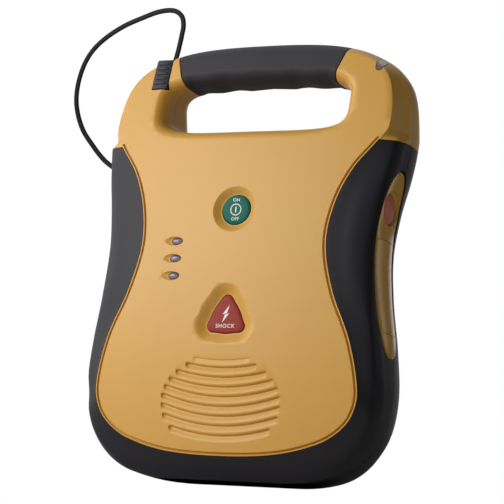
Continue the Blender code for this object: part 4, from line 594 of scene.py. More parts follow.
def lamp_scoop(z, grow):
    """Outline of the scoop round a lens, which reaches further to the left the higher it is cut."""
    return ellipse((LAMP_X - 0.5 * grow, z), LAMP_ACROSS + 0.9 * grow, LAMP_UP + 0.3 * grow, 48)


def bay_loop(grow=0.0):
    """Leaf outline of the battery bay in the side, as (y, z)."""
    return grown(ellipse((BAY_Y, BAY_Z), BAY_WIDTH / 2, BAY_RISE / 2, 96, BAY_POWER), grow)


def bowl(name, loop_at, margin, deep):
    """A cutter for a dish with a small round lip that follows the crown of the panel."""
    steps, straight, over, clear = 12, 0.72, 0.00006, 0.02
    rings = []
    for k in range(steps + 1):
        share = k / steps
        sunk = deep * (straight * (1 - share) + (1 - straight) * (1 - ease(share))) if k < steps else -over
        rings.append(on_front(loop_at(2 * GAP + (margin - 2 * GAP) * share), sunk))
    rings.append(on_front(loop_at(margin), -clear))
    return loft(name, rings)


def pocket(name, grow=0.0):
    """The pads holder in the back: an open pocket, a lip over its lower end and a cable recess beside it."""
    half, low = POUCH_WIDTH / 2 + POUCH_GAP + grow, POCKET_BOTTOM - grow
    under = POCKET_FLOOR - grow
    main = block(name, (-half, under, LIP_TOP if grow == 0 else low), (half, FAR, FAR))
    carve(main, block("under_lip", (-half, under, low), (half, LIP_BACK, LIP_TOP + GAP)), "UNION")
    top = CHANNEL_Z + CHANNEL_WIDTH / 2 + grow
    recess_low = (RECESS_LEFT - grow, under + GAP, TAIL_Z - 2 * CABLE_WIDTH - grow)
    carve(main, block("recess", recess_low, (0, FAR, top)), "UNION")
    channel_low = (-FAR, CHANNEL_FLOOR - grow, CHANNEL_Z - CHANNEL_WIDTH / 2 - grow)
    return carve(main, block("channel", channel_low, (RECESS_LEFT + GAP, FAR, top - GAP)), "UNION")


def plug_notch(name, grow=0.0):
    """The notch in the left shoulder that the plug stands in."""
    half = PLUG_WIDTH / 2 + PLUG_GAP + grow
    low = (PLUG_X - half, -FAR, PLUG_BOTTOM - PLUG_GAP - grow)
    return block(name, low, (PLUG_X + half, PLUG_BACK + PLUG_GAP + grow, FAR))


def status_loop(grow):
    """Outline of the status lamp, a slot with a round lower end that runs over the shoulder."""
    half = STATUS_HALF + grow
    arc = [math.pi * (1 + k / 16) for k in range(17)]
    loop = [Vector((STATUS_X + half * math.cos(a), STATUS_Z + half * math.sin(a))) for a in arc]
    return loop + [Vector((STATUS_X + half, FAR)), Vector((STATUS_X - half, FAR))]


def status_slot(name, grow, deep):
    """What the status lamp fills outside a skin drawn in by a depth."""
    patch = prism(name, status_loop(grow), "y", -FAR, STATUS_BACK + grow)
    return carve(patch, skin("under", deep, deep))


def grip_zone(name, grow):
    """Where the rubber grip covers the handle bar."""
    low, high = (HOLE_BOTTOM + HOLE_TOP) / 2, BODY_HEIGHT + EDGE_ROUND
    top, bottom = GRIP_TOP_HALF + grow, GRIP_BOTTOM_HALF + grow
    return prism(name, [(-bottom, low), (bottom, low), (top, high), (-top, high)], "y", -FAR, FAR)


def handle_core(name, wall):
    """The handle bar inside a sleeve of a given wall."""
    return carve(skin(name, wall, wall), handle_hole("hole", wall))


def surround_zone(name, front, grow):
    """Where the black surround covers the case: outside the panel outline and below the shoulders."""
    outer, panel = outlines(6)
    loop = panel if front else grown(outer, -REAR_BAND)
    zone = block(name, (-FAR, -FAR, -FAR), (FAR, FAR, BUMPER_TOP + grow))
    return carve(zone, prism("panel", grown(loop, -grow + GAP), "y", -2 * FAR, 2 * FAR))


def half_space(name, front):
    """Everything in front of the parting line, or behind it."""
    if front:
        return block(name, (-FAR, -FAR, -FAR), (FAR, -GAP / 2, FAR))
    return block(name, (-FAR, GAP / 2, -FAR), (FAR, FAR, FAR))


def edge_groove(name):
    """A cutter for the shadow groove just inside the panel's edge, from one shoulder round to the other."""
    panel = outlines(8)[1]
    right = [p for p in panel[:len(panel) // 2] if p.y < BUMPER_TOP + 0.0015]
    path = [Vector((-p.x, p.y)) for p in reversed(right[1:])] + right
    section = [(0.0005, -0.004), (0.0005, -0.0001), (0.0008, 0.0002), (0.0009, 0.0016), (0.0011, 0.0020)]
    section += [(0.0017, 0.0020), (0.0020, 0.0016), (0.0021, 0.0003), (0.0025, -0.0001), (0.0025, -0.004)]
    rings = []
    for i, p in enumerate(path):
        along = (path[min(i + 1, len(path) - 1)] - path[max(i - 1, 0)]).normalized()
        inward = Vector((-along.y, along.x))
        ring = []
        for offset, sunk in section:
            q = p + inward * offset
            ring.append(Vector((q.x, front_y(q.x, q.y) + sunk, q.y)))
        rings.append(ring)
    return loft(name, rings)


def grille_groove(name, number, up, fullness):
    """A cutter for one smile-shaped groove of the loudspeaker grille: a wall below each rib, then a slope."""
    lift = (number - (GRILLE_GROOVES - 1) / 2) * GRILLE_PITCH - GRILLE_HALF**2 / GRILLE_BEND / 8
    reach = GRILLE_HALF
    power = 2.5 if lift < 0 else 2.0
    while (reach / GRILLE_HALF) ** power + (abs(lift + reach**2 / (2 * GRILLE_BEND)) / up) ** power > 1:
        reach -= 0.0002
    section = [(0.0027, -0.004), (0.0027, -0.00005), (0.0021, 0.0001), (0.0016, 0.0005)]
    section += [(0.0013, 0.0012), (0.0010, 0.0019), (0.0002, 0.0017), (-0.0008, 0.0011)]
    section += [(-0.0018, 0.0005), (-0.0026, 0.0002), (-0.0034, -0.00005), (-0.0034, -0.004)]
    end = 0.0026
    stations = [(-reach + end * (1 - math.cos(a)), math.sin(a)) for a in (0.3, 0.6, 0.9, 1.2)]
    stations += [(-reach + end + (2 * reach - 2 * end) * k / 44, 1.0) for k in range(45)]
    stations += [(-x, share) for x, share in reversed(stations[:4])]
    rings = []
    for x, share in stations:
        z = GRILLE_Z + lift + x**2 / (2 * GRILLE_BEND)
        ring = []
        for w, sunk in section:
            deep = sunk * share * fullness if sunk > 0 else sunk
            ring.append(Vector((x, front_y(x, z + w * share) + deep, z + w * share)))
        rings.append(ring)
    return loft(name, rings)


fine_skin = skin("fine_skin", fine=True)
on_off_floor = front_y(0, ON_OFF_Z) + ON_OFF_DISH
shock_floor = front_y(0, SHOCK_Z) + SHOCK_DISH
shell = copied(fine_skin, "front_case_shell")
for k in range(GRILLE_GROOVES):
    carve(shell, grille_groove("groove", k, GRILLE_UP, 1.0))
carve(shell, grille_groove("groove", FAINT_GROOVE, FAINT_UP, FAINT_SHARE))
carve(shell, edge_groove("edge_groove"))
for tool in (handle_hole("hole", fine=True), pocket("pocket"), plug_notch("notch")):
    carve(shell, tool)
rebate = grip_zone("rebate", GRIP_REBATE)
carve(rebate, handle_core("core", GRIP_WALL + GAP))
carve(shell, rebate)
for loop_at, margin, deep, floor in ((on_off_loop, ON_OFF_MARGIN, ON_OFF_DISH, on_off_floor),
                                     (shock_loop, SHOCK_MARGIN, SHOCK_DISH, shock_floor)):
    carve(shell, bowl("dish", loop_at, margin, deep))
    carve(shell, prism("bore", loop_at(GAP), "y", -FAR, floor + BUTTON_SEAT + GAP))
for z in LAMP_ZS:
    carve(shell, bowl("dish", lambda grow: lamp_scoop(z, grow), LAMP_MARGIN, LAMP_DISH))
    carve(shell, prism("bore", lamp_loop(z, GAP), "y", -FAR, front_y(LAMP_X, z) + LAMP_DISH + LAMP_BORE))
carve(shell, prism("bay", bay_loop(GAP), "x", BAY_PLATE_X - BAY_WALL, FAR))
socket_low, socket_high = (Vector(corner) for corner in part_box("connector_socket"))
carve(shell, block("socket", socket_low - Vector((GAP, GAP, 0)), socket_high + Vector((GAP, GAP, 2 * GAP))))
carve(shell, status_slot("status", GAP, STATUS_WALL + 2 * GAP))
for x, z in SCREWS:
    inside = abs(x) < POUCH_WIDTH / 2 and POCKET_BOTTOM < z < HOLE_BOTTOM
    seat = (POCKET_FLOOR if inside else rear_y(z)) - SCREW_HEAD_RISE - GAP
    carve(shell, round_bar("bore", "y", (x, z), SCREW_BORE, SCREW_TIP, FAR, 24))
    carve(shell, round_bar("head", "y", (x, z), SCREW_HEAD, seat, FAR, 32))

hollow = skin("hollow", BUMPER_SEAT + CASE_WALL, CASE_WALL, 2 * CASE_WALL)
bar_half = HOLE_WIDTH / 2 + 2 * CASE_WALL
carve(hollow, block("bar", (-bar_half, -FAR, HOLE_BOTTOM + HOLE_ROUND), (bar_half, FAR, FAR)))
for tool in (handle_hole("wall", CASE_WALL), pocket("wall", CASE_WALL), plug_notch("wall", CASE_WALL)):
    carve(hollow, tool)
carve(hollow, prism("boss", on_off_loop(ON_OFF_BOSS), "y", -FAR, on_off_floor + BUTTON_SEAT))
carve(hollow, prism("boss", shock_loop(SHOCK_BOSS), "y", -FAR, shock_floor + BUTTON_SEAT))
for z in LAMP_ZS:
    floor = front_y(LAMP_X, z) + LAMP_DISH
    carve(hollow, prism("boss", lamp_loop(z, LAMP_BOSS), "y", -FAR, floor + LAMP_BORE - GAP))
seat = front_y(0, GRILLE_Z) + SPEAKER_SEAT_DEPTH
carve(hollow, round_bar("boss", "y", (0, GRILLE_Z), SPEAKER_SEAT_RADIUS, -FAR, seat))
for x, z in SCREWS:
    carve(hollow, round_bar("pillar", "y", (x, z), SCREW_PILLAR, -FAR, FAR, 24))
carve(shell, hollow)


def moulded(name, colour, flow_colour, roughness, grain_mm, rise_mm, gloss=0.5, ior=1.5):
    """A moulded plastic or rubber: a slow drift of colour, and the fine grain of the mould on its surface."""
    made, tree, shader = new_material(name, ("IOR", ior), ("Specular IOR Level", gloss))
    place = add_node(tree, "ShaderNodeTexCoord").outputs["Object"]
    flow = add_node(tree, "ShaderNodeTexNoise", [("Scale", 1 / 0.060), ("Detail", 3.0)], [("Vector", place)])
    grain = add_node(tree, "ShaderNodeTexNoise", [("Scale", 1 / (0.001 * grain_mm)), ("Detail", 2.0)],
                     [("Vector", place)])
    tint = add_node(tree, "ShaderNodeMix", [(6, linear(colour)), (7, linear(flow_colour))], [(0, flow.outputs[0])],
                    data_type="RGBA")
    rough = add_node(tree, "ShaderNodeMapRange", [("To Min", roughness - 0.06), ("To Max", roughness + 0.06)],
                     [("Value", grain.outputs[0])])
    bump = add_node(tree, "ShaderNodeBump", [("Strength", 1.0), ("Distance", 0.001 * rise_mm)],
                    [("Height", grain.outputs[0])])
    tree.links.new(tint.outputs[2], shader.inputs["Base Color"])
    tree.links.new(rough.outputs[0], shader.inputs["Roughness"])
    tree.links.new(bump.outputs[0], shader.inputs["Normal"])
    return made


def finish(piece, material, body, slot, *nodes, degrees=32):
    """Smooth shading, the material and the ties of one finished piece."""
    pick(piece)
    bpy.ops.object.shade_smooth_by_angle(angle=math.radians(degrees))
    piece.data.materials.clear()
    piece.data.materials.append(material)
    if nodes:
        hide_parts(*nodes)
    if body:
        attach(piece, body)


# Moulded ABS with a fine spark-eroded grain of about half a millimetre, drawn just coarse enough to show.
yellow_abs = moulded("yellow_abs", "#CF9E43", "#C9973B", 0.44, 0.55, 0.012, 0.58)
rear_shell = copied(shell, "rear_case_shell")
for case, front in ((shell, True), (rear_shell, False)):
    carve(case, half_space("half", front), "INTERSECT")
    covered = surround_zone("covered", front, GAP)
    carve(covered, skin("seat", BUMPER_SEAT, BUMPER_SEAT))
    carve(case, covered)
finish(shell, yellow_abs, "unit", "yellow_shell", "front_case")
finish(rear_shell, yellow_abs, "unit", "yellow_shell", "rear_case")


# Surround. Two soft black mouldings that wrap the sides and base and meet at a parting line half way back.
# They clip over the case, which keeps a thin dark gap all round them.

# A soft black plastic, a little blue, with a dull sheen.
black_surround = moulded("black_surround", "#1D1C22", "#19181E", 0.46, 0.7, 0.014, 0.26)
for name, front in (("front_surround", True), ("rear_surround", False)):
    bumper = copied(fine_skin, name)
    carve(bumper, skin("inside", BUMPER_WALL, BUMPER_WALL))
    carve(bumper, surround_zone("zone", front, 0.0), "INTERSECT")
    carve(bumper, half_space("half", front), "INTERSECT")
    if not front:
        carve(bumper, pocket("pocket"))
        for x, z in SCREWS:
            carve(bumper, round_bar("head", "y", (x, z), SCREW_HEAD, 0, FAR, 32))
    carve(bumper, prism("bay", bay_loop(GAP), "x", 0, FAR))
    finish(bumper, black_surround, "unit", "black_surround", "front_bumper" if front else "rear_bumper")


# Grip. A soft rubber sleeve over the handle bar, moulded in two halves, waved on its underside for the fingers.
# The halves are bonded into a shallow rebate of the bar.

# Matt rubber, greyer and coarser than the surround.
grip_rubber = moulded("grip_rubber", "#37363B", "#313035", 0.60, 0.9, 0.03, 0.22)
sleeve = copied(fine_skin, "front_grip")
carve(sleeve, handle_hole("hole", fine=True))
carve(sleeve, grip_zone("zone", 0.0), "INTERSECT")
carve(sleeve, handle_core("core", GRIP_WALL))
rear_sleeve = copied(sleeve, "rear_grip")
carve(sleeve, half_space("half", True), "INTERSECT")
carve(rear_sleeve, half_space("half", False), "INTERSECT")
finish(sleeve, grip_rubber, "unit", "rubber_grip", "grip_front")
finish(rear_sleeve, grip_rubber, "unit", "rubber_grip", "grip_rear")


# Front buttons. A green disc and a red rounded triangle in silk-gloss plastic, each with a flange behind the
# panel that holds it in its bore. Their signs are printed in white.
BUTTON_PROUD = 0.0012
FLANGE_WIDTH, FLANGE_NEAR, FLANGE_FAR = 0.0016, 0.0024, 0.0036
INK = 0.00006
SIGN_RADIUS, SIGN_LINE, BAR_HALF, BAR_RISE = 0.0037, 0.00036, 0.00042, 0.0019
WORD_HEIGHT, WORD_OFFSET = 0.0022, 0.0064
SHOCK_WORD_HEIGHT, SHOCK_WORD_DROP, BOLT_LIFT = 0.0026, 0.0066, 0.0016
BOLT_HALF = ((0.0024, 0.0060), (-0.0024, -0.0003), (0.0007, 0.0004))


def front_button(name, loop_at, floor):
    """A cap with a softly rounded edge and a flange at its rear."""
    face = floor - BUTTON_PROUD
    level = loop_at(-0.0018)
    centre = sum(level, Vector((0, 0))) / len(level)
    rings = []
    for share in (0.1, 0.4, 0.7):
        rings.append(placed([centre.lerp(p, share) for p in level], "y", face + 0.0001 * share**2))
    for inset, sunk in ((0.0018, 0.00010), (0.0009, 0.00028), (0.0004, 0.00055), (0.0001, 0.0009), (0.0, 0.0013)):
        rings.append(placed(loop_at(-inset), "y", face + sunk))
    for grow, deep in ((0.0, FLANGE_NEAR), (FLANGE_WIDTH, FLANGE_NEAR), (FLANGE_WIDTH, FLANGE_FAR)):
        rings.append(placed(loop_at(grow), "y", floor + deep))
    return loft(name, rings)


# Silk-gloss plastic, dyed through, with hardly any grain.
green_plastic = moulded("green_plastic", "#216A5D", "#1C6255", 0.34, 0.5, 0.006, 0.08)
red_plastic = moulded("red_plastic", "#9A403B", "#923934", 0.34, 0.5, 0.006, 0.08)
on_off = front_button("on_off_cap", on_off_loop, on_off_floor)
finish(on_off, green_plastic, "on_off", "green_button", "on_off_button")
shock = front_button("shock_cap", shock_loop, shock_floor)
finish(shock, red_plastic, "shock", "red_button", "shock_button")

# Pad-printed ink, matt and a little uneven.
white_ink = moulded("white_ink", "#E9EDEA", "#DDE4E0", 0.6, 0.4, 0.004)


def printed_word(word, height, spacing, z, face):
    """A word as a thin raised print, upright on a front face."""
    bpy.ops.object.text_add(location=(0, 0, 0))
    made = bpy.context.object
    made.data.body = word
    made.data.align_x = "CENTER"
    made.data.align_y = "CENTER"
    made.data.size = height / 0.72
    made.data.space_character = spacing
    made.data.extrude = INK
    made.data.offset = height * 0.012
    bpy.ops.object.convert(target="MESH")
    made.rotation_euler = (math.pi / 2, 0, 0)
    made.location = (0, face, z)
    bpy.ops.object.transform_apply()
    return made


def joined(name, pieces):
    """Several pieces as one."""
    bpy.ops.object.select_all(action="DESELECT")
    for piece in pieces:
        piece.select_set(True)
    bpy.context.view_layer.objects.active = pieces[0]
    bpy.ops.object.join()
    pieces[0].name = name
    return pieces[0]


face = on_off_floor - BUTTON_PROUD
bpy.ops.mesh.primitive_torus_add(major_radius=SIGN_RADIUS, minor_radius=SIGN_LINE, major_segments=48,
                                 minor_segments=8, rotation=(math.pi / 2, 0, 0), location=(0, face, ON_OFF_Z))
ring = bpy.context.object
ring.scale = (1, 1, 0.25)
bpy.ops.object.transform_apply()
bar_loop = ellipse((0, ON_OFF_Z), BAR_HALF, BAR_RISE, 32, 6.0)
bar = prism("bar", bar_loop, "y", face - INK, face + INK)
marks = [ring, bar]
for word, z in (("ON", ON_OFF_Z + WORD_OFFSET), ("OFF", ON_OFF_Z - WORD_OFFSET)):
    marks.append(printed_word(word, WORD_HEIGHT, 1.1, z, face))
finish(joined("on_off_signs", marks), white_ink, "on_off", "green_button")

face = shock_floor - BUTTON_PROUD
marks = [printed_word("SHOCK", SHOCK_WORD_HEIGHT, 1.2, SHOCK_Z - SHOCK_WORD_DROP, face)]
for way in (1, -1):
    loop = [(way * x, SHOCK_Z + BOLT_LIFT + way * z) for x, z in BOLT_HALF]
    marks.append(prism("bolt", loop, "y", face - INK, face + INK))
finish(joined("shock_signs", marks), white_ink, "shock", "red_button")


# Indicator lamps. Three clear violet-grey lenses in scooped ovals beside the buttons, and a fourth that wraps over
# the right shoulder. They are moulded in polished polycarbonate, pressed in from behind, and look grey while unlit.
LENS_RISE, LENS_SINK = 0.0014, 0.0004
LENS_FLANGE, LENS_FLANGE_NEAR, LENS_FLANGE_FAR = 0.0010, 0.0040, 0.0052


def clear_lens(name, colour, deep_colour):
    """Polished clear plastic with a soft haze of a deeper tint, as light gets lost in it."""
    made, tree, shader = new_material(name, ("IOR", 1.58), ("Roughness", 0.12))
    place = add_node(tree, "ShaderNodeTexCoord").outputs["Object"]
    haze = add_node(tree, "ShaderNodeTexNoise", [("Scale", 1 / 0.0022), ("Detail", 2.0)], [("Vector", place)])
    tint = add_node(tree, "ShaderNodeMix", [(6, linear(colour)), (7, linear(deep_colour))], [(0, haze.outputs[0])],
                    data_type="RGBA")
    tree.links.new(tint.outputs[2], shader.inputs["Base Color"])
    return made


lamp_lens = clear_lens("lamp_lens", "#8F88A0", "#5C5469")
for number, z in enumerate(LAMP_ZS, 1):
    base = front_y(LAMP_X, z) + LAMP_DISH
    rings = []
    for degrees in range(6, 91, 12):
        a = math.radians(degrees)
        loop = ellipse((LAMP_X, z), LAMP_ACROSS * math.sin(a), LAMP_UP * math.sin(a), 48)
        rings.append(placed(loop, "y", base + LENS_SINK - LENS_RISE * math.cos(a)))
    rings.append(placed(lamp_loop(z), "y", base + LENS_FLANGE_NEAR - GAP))
    for deep in (LENS_FLANGE_NEAR, LENS_FLANGE_FAR):
        rings.append(placed(lamp_loop(z, LENS_FLANGE), "y", base + deep))
    finish(loft(f"lamp_{number}", rings), lamp_lens, "unit", "lamp_lens", f"indicator_lens_{number}")
status = carve(status_slot("status_lamp", 0.0, STATUS_WALL), copied(fine_skin, "over"), "INTERSECT")
status_lens = clear_lens("status_lens", "#8C7577", "#5E4A4E")
finish(status, status_lens, "unit", "lamp_lens", "status_lens")


# Battery bay, pack and eject button. A yellow leaf-shaped plate in the right side with a rounded rim, the pack
# whose end closes flush with it, and a red push button in a dish above the pack.
LEAF_SINK, RIM_SINK, RIM_WIDTH = 0.0006, 0.0016, 0.0010
SWELL, SWELL_FROM_X, SWELL_TOP, SWELL_FADE = 0.0020, 0.092, 0.158, 0.012
PACK_LOW, PACK_HIGH, PACK_CORNER, PACK_MARGIN, PACK_WALL = 0.0995, 0.161, 0.003, 0.0018, 0.0016
CORNER_STEP = 0.0008
EJECT_Z, EJECT_RADIUS, EJECT_PROUD = 0.183, 0.0105, 0.0020
EJECT_DISH_WIDTH, EJECT_DISH = 0.0014, 0.0020
EJECT_FLANGE, EJECT_FLANGE_RISE = 0.0014, 0.0016


def pack_loop(grow=0.0):
    """Outline of the battery pack's end, which fills the leaf between two seams, as (y, z)."""
    def half_at(z):
        reach = 1 - (abs(z - BAY_Z) / (BAY_RISE / 2)) ** BAY_POWER
        return BAY_WIDTH / 2 * reach ** (1 / BAY_POWER) - PACK_MARGIN

    low, high, corner, step = PACK_LOW, PACK_HIGH, PACK_CORNER, CORNER_STEP
    right = [(half_at(low) - corner, low), (half_at(low + 0.001) - step, low + step)]
    for k in range(13):
        z = low + corner + (high - low - 2 * corner) * k / 12
        right.append((half_at(z), z))
    right += [(half_at(high - 0.001) - step, high - step), (half_at(high) - corner, high)]
    left = [(-half, z) for half, z in reversed(right)]
    return grown([Vector((BAY_Y + half, z)) for half, z in right + left], grow)


def swollen(piece):
    """Swells the outer face of a piece of the leaf between the leaf's edges, below the eject button."""
    for v in piece.data.vertices:
        if v.co.x > SWELL_FROM_X:
            fall = 1 - ease((v.co.z - SWELL_TOP) / SWELL_FADE)
            v.co.x += SWELL * fall * max(0.0, 1 - ((v.co.y - BAY_Y) / (BAY_WIDTH / 2)) ** 2)
    return piece


def turned(name, axis, centre, profile, sides):
    """A disc drawn out along an axis and widened step by step, through (radius, depth) pairs."""
    radius, depth = profile[0]
    bpy.ops.mesh.primitive_circle_add(vertices=sides, radius=radius, fill_type="NGON", enter_editmode=True)
    bpy.ops.transform.translate(value=(0, 0, depth))
    for next_radius, next_depth in profile[1:]:
        bpy.ops.mesh.extrude_region_move(TRANSFORM_OT_translate={"value": (0, 0, next_depth - depth)})
        share = next_radius / radius
        bpy.ops.transform.resize(value=(share, share, 1), center_override=(0, 0, 0))
        radius, depth = next_radius, next_depth
    bpy.ops.mesh.select_all(action="SELECT")
    bpy.ops.mesh.normals_make_consistent(inside=False)
    bpy.ops.object.mode_set(mode="OBJECT")
    made = bpy.context.object
    made.name = name
    made.rotation_euler = AXIS_TURN[axis]
    made.location = placed([centre], axis, 0)[0]
    bpy.ops.object.transform_apply()
    return made


pack_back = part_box("battery_pack")[0][0]
well_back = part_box("battery_bay")[0][0]
sunk_skin = skin("sunk_skin", LEAF_SINK, LEAF_SINK, fine=True)
plate = prism("bay_plate", bay_loop(-RIM_WIDTH), "x", BAY_PLATE_X, FAR)
carve(plate, copied(sunk_skin, "over"), "INTERSECT")
rim = prism("bay_rim", bay_loop(), "x", BAY_PLATE_X, FAR)
carve(rim, skin("deep_skin", RIM_SINK, RIM_SINK, fine=True), "INTERSECT")
carve(plate, rim, "UNION")
carve(plate, prism("well", pack_loop(GAP + BAY_WALL), "x", well_back, BAY_PLATE_X + BAY_WALL), "UNION")
carve(plate, prism("inside", pack_loop(GAP), "x", well_back + BAY_WALL, FAR))
surface = half_width(EJECT_Z) - LEAF_SINK
rings = []
for k in range(9):
    share = k / 8
    reach = EJECT_RADIUS + GAP + EJECT_DISH_WIDTH * share
    rings.append(placed(ellipse((BAY_Y, EJECT_Z), reach, reach, 64), "x", surface - EJECT_DISH * (1 - ease(share))))
rings.append(placed(ellipse((BAY_Y, EJECT_Z), reach, reach, 64), "x", surface + 0.01))
carve(plate, loft("dish", rings))
carve(plate, round_bar("bore", "x", (BAY_Y, EJECT_Z), EJECT_RADIUS + GAP, 0, FAR))
# The same yellow from a polished mould, so the leaf mirrors more than the case.
polished_abs = moulded("polished_abs", "#CF9E43", "#C9973B", 0.26, 0.55, 0.005, 0.5)
finish(swollen(plate), polished_abs, "unit", "yellow_shell", "battery_bay")
pack = carve(prism("pack_shell", pack_loop(), "x", pack_back, FAR), copied(sunk_skin, "over"), "INTERSECT")
carve(pack, prism("inside", pack_loop(-PACK_WALL), "x", pack_back - GAP, BAY_PLATE_X))
finish(swollen(pack), polished_abs, "battery", "yellow_shell", "battery_pack")
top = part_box("eject_button")[1][0] + EJECT_PROUD
crown = ((0.0100, 0.0), (0.0075, 0.00004), (0.0049, 0.0002), (0.0029, 0.0005), (0.0017, 0.0010), (0.0006, 0.0017),
         (0.0, 0.0024))
profile = [(EJECT_RADIUS - inset, top - sunk) for inset, sunk in crown]
flange, flange_x = EJECT_RADIUS + EJECT_FLANGE, BAY_PLATE_X - GAP
profile += [(EJECT_RADIUS, flange_x), (flange, flange_x), (flange, flange_x - EJECT_FLANGE_RISE)]
eject = turned("eject_cap", "x", (BAY_Y, EJECT_Z), profile, 64)
# A red painted paler and more matt than the front buttons' red, so that the eject button on the shaded right side
# looks lit: painted light.
painted_lit_red = moulded("painted_lit_red", "#D2776B", "#C86C61", 0.42, 0.5, 0.010, 0.20)
finish(eject, painted_lit_red, "eject", "red_button", "eject_button")


# Electrode plug. A grey ABS block that stands in the left shoulder, ribbed across its front for the thumb, with a
# small soft sleeve on top where the cable leaves it.
PLUG_PROUD, PLUG_EDGE = 0.0010, 0.0009
RIB_COUNT, RIB_PITCH, RIB_DEEP, RIB_UP = 5, 0.0037, 0.0009, 0.0012
PIN_BORE = 0.0018


def plug_front(z, sunk=0.0):
    """A point on the plug's front, as (y, z)."""
    return Vector((front_y(PLUG_X, z) - PLUG_PROUD + sunk, z))


outline = [Vector((PLUG_BACK, PLUG_BOTTOM)), Vector((PLUG_BACK, PLUG_TOP))]
outline += [plug_front(PLUG_TOP, 0.0014), plug_front(PLUG_TOP - 0.0004, 0.0005)]
outline += [plug_front(PLUG_TOP - (PLUG_TOP - PLUG_BOTTOM) * k / 12) for k in range(1, 13)]
half, middle_z = PLUG_WIDTH / 2, (PLUG_TOP + PLUG_BOTTOM) / 2
rings = []
edge = ((0.0, PLUG_EDGE), (0.0002, 0.0004), (PLUG_EDGE, 0.0))
stations = [(step - half, inset) for step, inset in edge]
for x, inset in stations + [(-x, inset) for x, inset in reversed(stations)]:
    rings.append(placed(grown(outline, -inset), "x", PLUG_X + x))
plug = loft("plug_block", rings)
loop = ellipse((PLUG_X, middle_z), half + GAP, (PLUG_TOP - PLUG_BOTTOM) / 2 + GAP, 96, 7.0)
carve(plug, prism("corners", loop, "y", -FAR, FAR), "INTERSECT")
for k in range(RIB_COUNT):
    spot = plug_front(middle_z + (2.1 - k) * RIB_PITCH)
    rings = []
    for x, share in ((-0.0044, 0.2), (-0.0042, 0.7), (-0.0037, 1.0), (0.0037, 1.0), (0.0042, 0.7), (0.0044, 0.2)):
        rings.append(placed(ellipse(spot, RIB_DEEP * share, RIB_UP * share, 24), "x", PLUG_X + x))
    carve(plug, loft("rib", rings), "UNION")
for pin in ("socket_pin_1", "socket_pin_2"):
    low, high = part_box(pin)
    spot = ((low[0] + high[0]) / 2, (low[1] + high[1]) / 2)
    carve(plug, round_bar("bore", "z", spot, PIN_BORE, 0.2, high[2] + GAP, 24))
# Dark grey ABS, a little blue, with the same fine grain as the case.
grey_abs = moulded("grey_abs", "#35363D", "#303138", 0.42, 0.5, 0.008, 0.25)
finish(plug, grey_abs, "plug", "grey_plug", "electrode_plug")
relief_low, relief_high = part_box("plug_strain_relief")
spot = ((relief_low[0] + relief_high[0]) / 2, (relief_low[1] + relief_high[1]) / 2)
low, high = relief_low[2], relief_high[2]
steps = ((0.0034, 0.0), (0.0034, 0.0008), (0.0031, 0.0011), (0.0031, 0.0015), (0.0028, 0.0018), (0.0026, 0.0026),
         (0.0022, 0.0034), (0.0019, high - low))
relief = turned("plug_sleeve", "z", spot, [(radius, low + rise) for radius, rise in steps], 48)
# Soft PVC, nearly black and dull.
soft_black = moulded("soft_black_pvc", "#121113", "#0E0D0F", 0.5, 0.4, 0.006, 0.12)
finish(relief, soft_black, "plug", "cable_jacket", "plug_strain_relief")


# Electrode cable. A flat black two-core lead in PVC that springs out of the plug, loops round the left side and goes
# into a channel in the back. Its tail runs on through the channel into the pouch.
CABLE_STEP, CABLE_THICK = 0.0015, 0.00105
EXIT_Y, EXIT_Z, LOOP_REACH = 0.006, 0.2963, 0.090
CHANNEL_Y, TAIL_X, TAIL_Y = 0.0307, -0.0725, 0.0284


def smooth_route(points, step):
    """Points at an even step along a smooth curve through a route's own points."""
    fine = curve_through([Vector(p) for p in points], (), 11)
    length = sum((q - p).length for p, q in zip(fine, fine[1:]))
    count = max(2, round(length / step))
    route = [fine[0]]
    walked = 0.0
    for p, q in zip(fine, fine[1:]):
        piece = (q - p).length
        while walked + piece >= len(route) * length / count and len(route) < count:
            route.append(p.lerp(q, (len(route) * length / count - walked) / piece))
        walked += piece
    return route + [fine[-1]], length


def twin_lead(name, route):
    """A flat lead of two cores along a route, with its flat sides to front and rear."""
    section = []
    for k in range(24):
        a = 2 * math.pi * k / 24
        w = CABLE_WIDTH / 2 * math.cos(a)
        waist = 1 - 0.22 * math.exp(-(w / 0.00045) ** 2)
        section.append((w, CABLE_THICK * waist * math.copysign(abs(math.sin(a)) ** 0.6, math.sin(a))))
    rings = []
    for i, p in enumerate(route):
        along = (route[min(i + 1, len(route) - 1)] - route[max(i - 1, 0)]).normalized()
        wide = Vector((0, 1, 0)).cross(along).normalized()
        thick = along.cross(wide)
        rings.append([p + wide * w + thick * t for w, t in section])
    return loft(name, rings)


loop_route = [(PLUG_X, EXIT_Y, EXIT_Z)]
for reach, back, rise in (
    (-0.016, 0.00, 1.140), (-0.034, 0.00, 1.272), (-0.039, 0.01, 1.359), (-0.012, 0.04, 1.444), (0.068, 0.09, 1.501),
    (0.198, 0.13, 1.504), (0.340, 0.22, 1.473), (0.559, 0.36, 1.405), (0.758, 0.49, 1.293), (0.884, 0.62, 1.168),
    (0.972, 0.80, 0.984), (1.000, 0.98, 0.781), (0.952, 1.16, 0.575), (0.852, 1.29, 0.418), (0.751, 1.38, 0.296),
    (0.649, 1.42, 0.217), (0.517, 1.41, 0.120), (0.383, 1.33, 0.044),
):
    y = EXIT_Y + back * (CHANNEL_FLOOR - EXIT_Y)
    loop_route.append((PLUG_X - reach * LOOP_REACH, y, CHANNEL_Z + rise * (PLUG_TOP - CHANNEL_Z)))
loop_route += [(-0.0986, 0.0319, 0.2089), (-0.0908, CHANNEL_Y, CHANNEL_Z), (-0.083, CHANNEL_Y, CHANNEL_Z)]
tail_route = [(-0.0826, CHANNEL_Y, CHANNEL_Z), (-0.0752, CHANNEL_Y, 0.2071), (TAIL_X, 0.02955, 0.2008)]
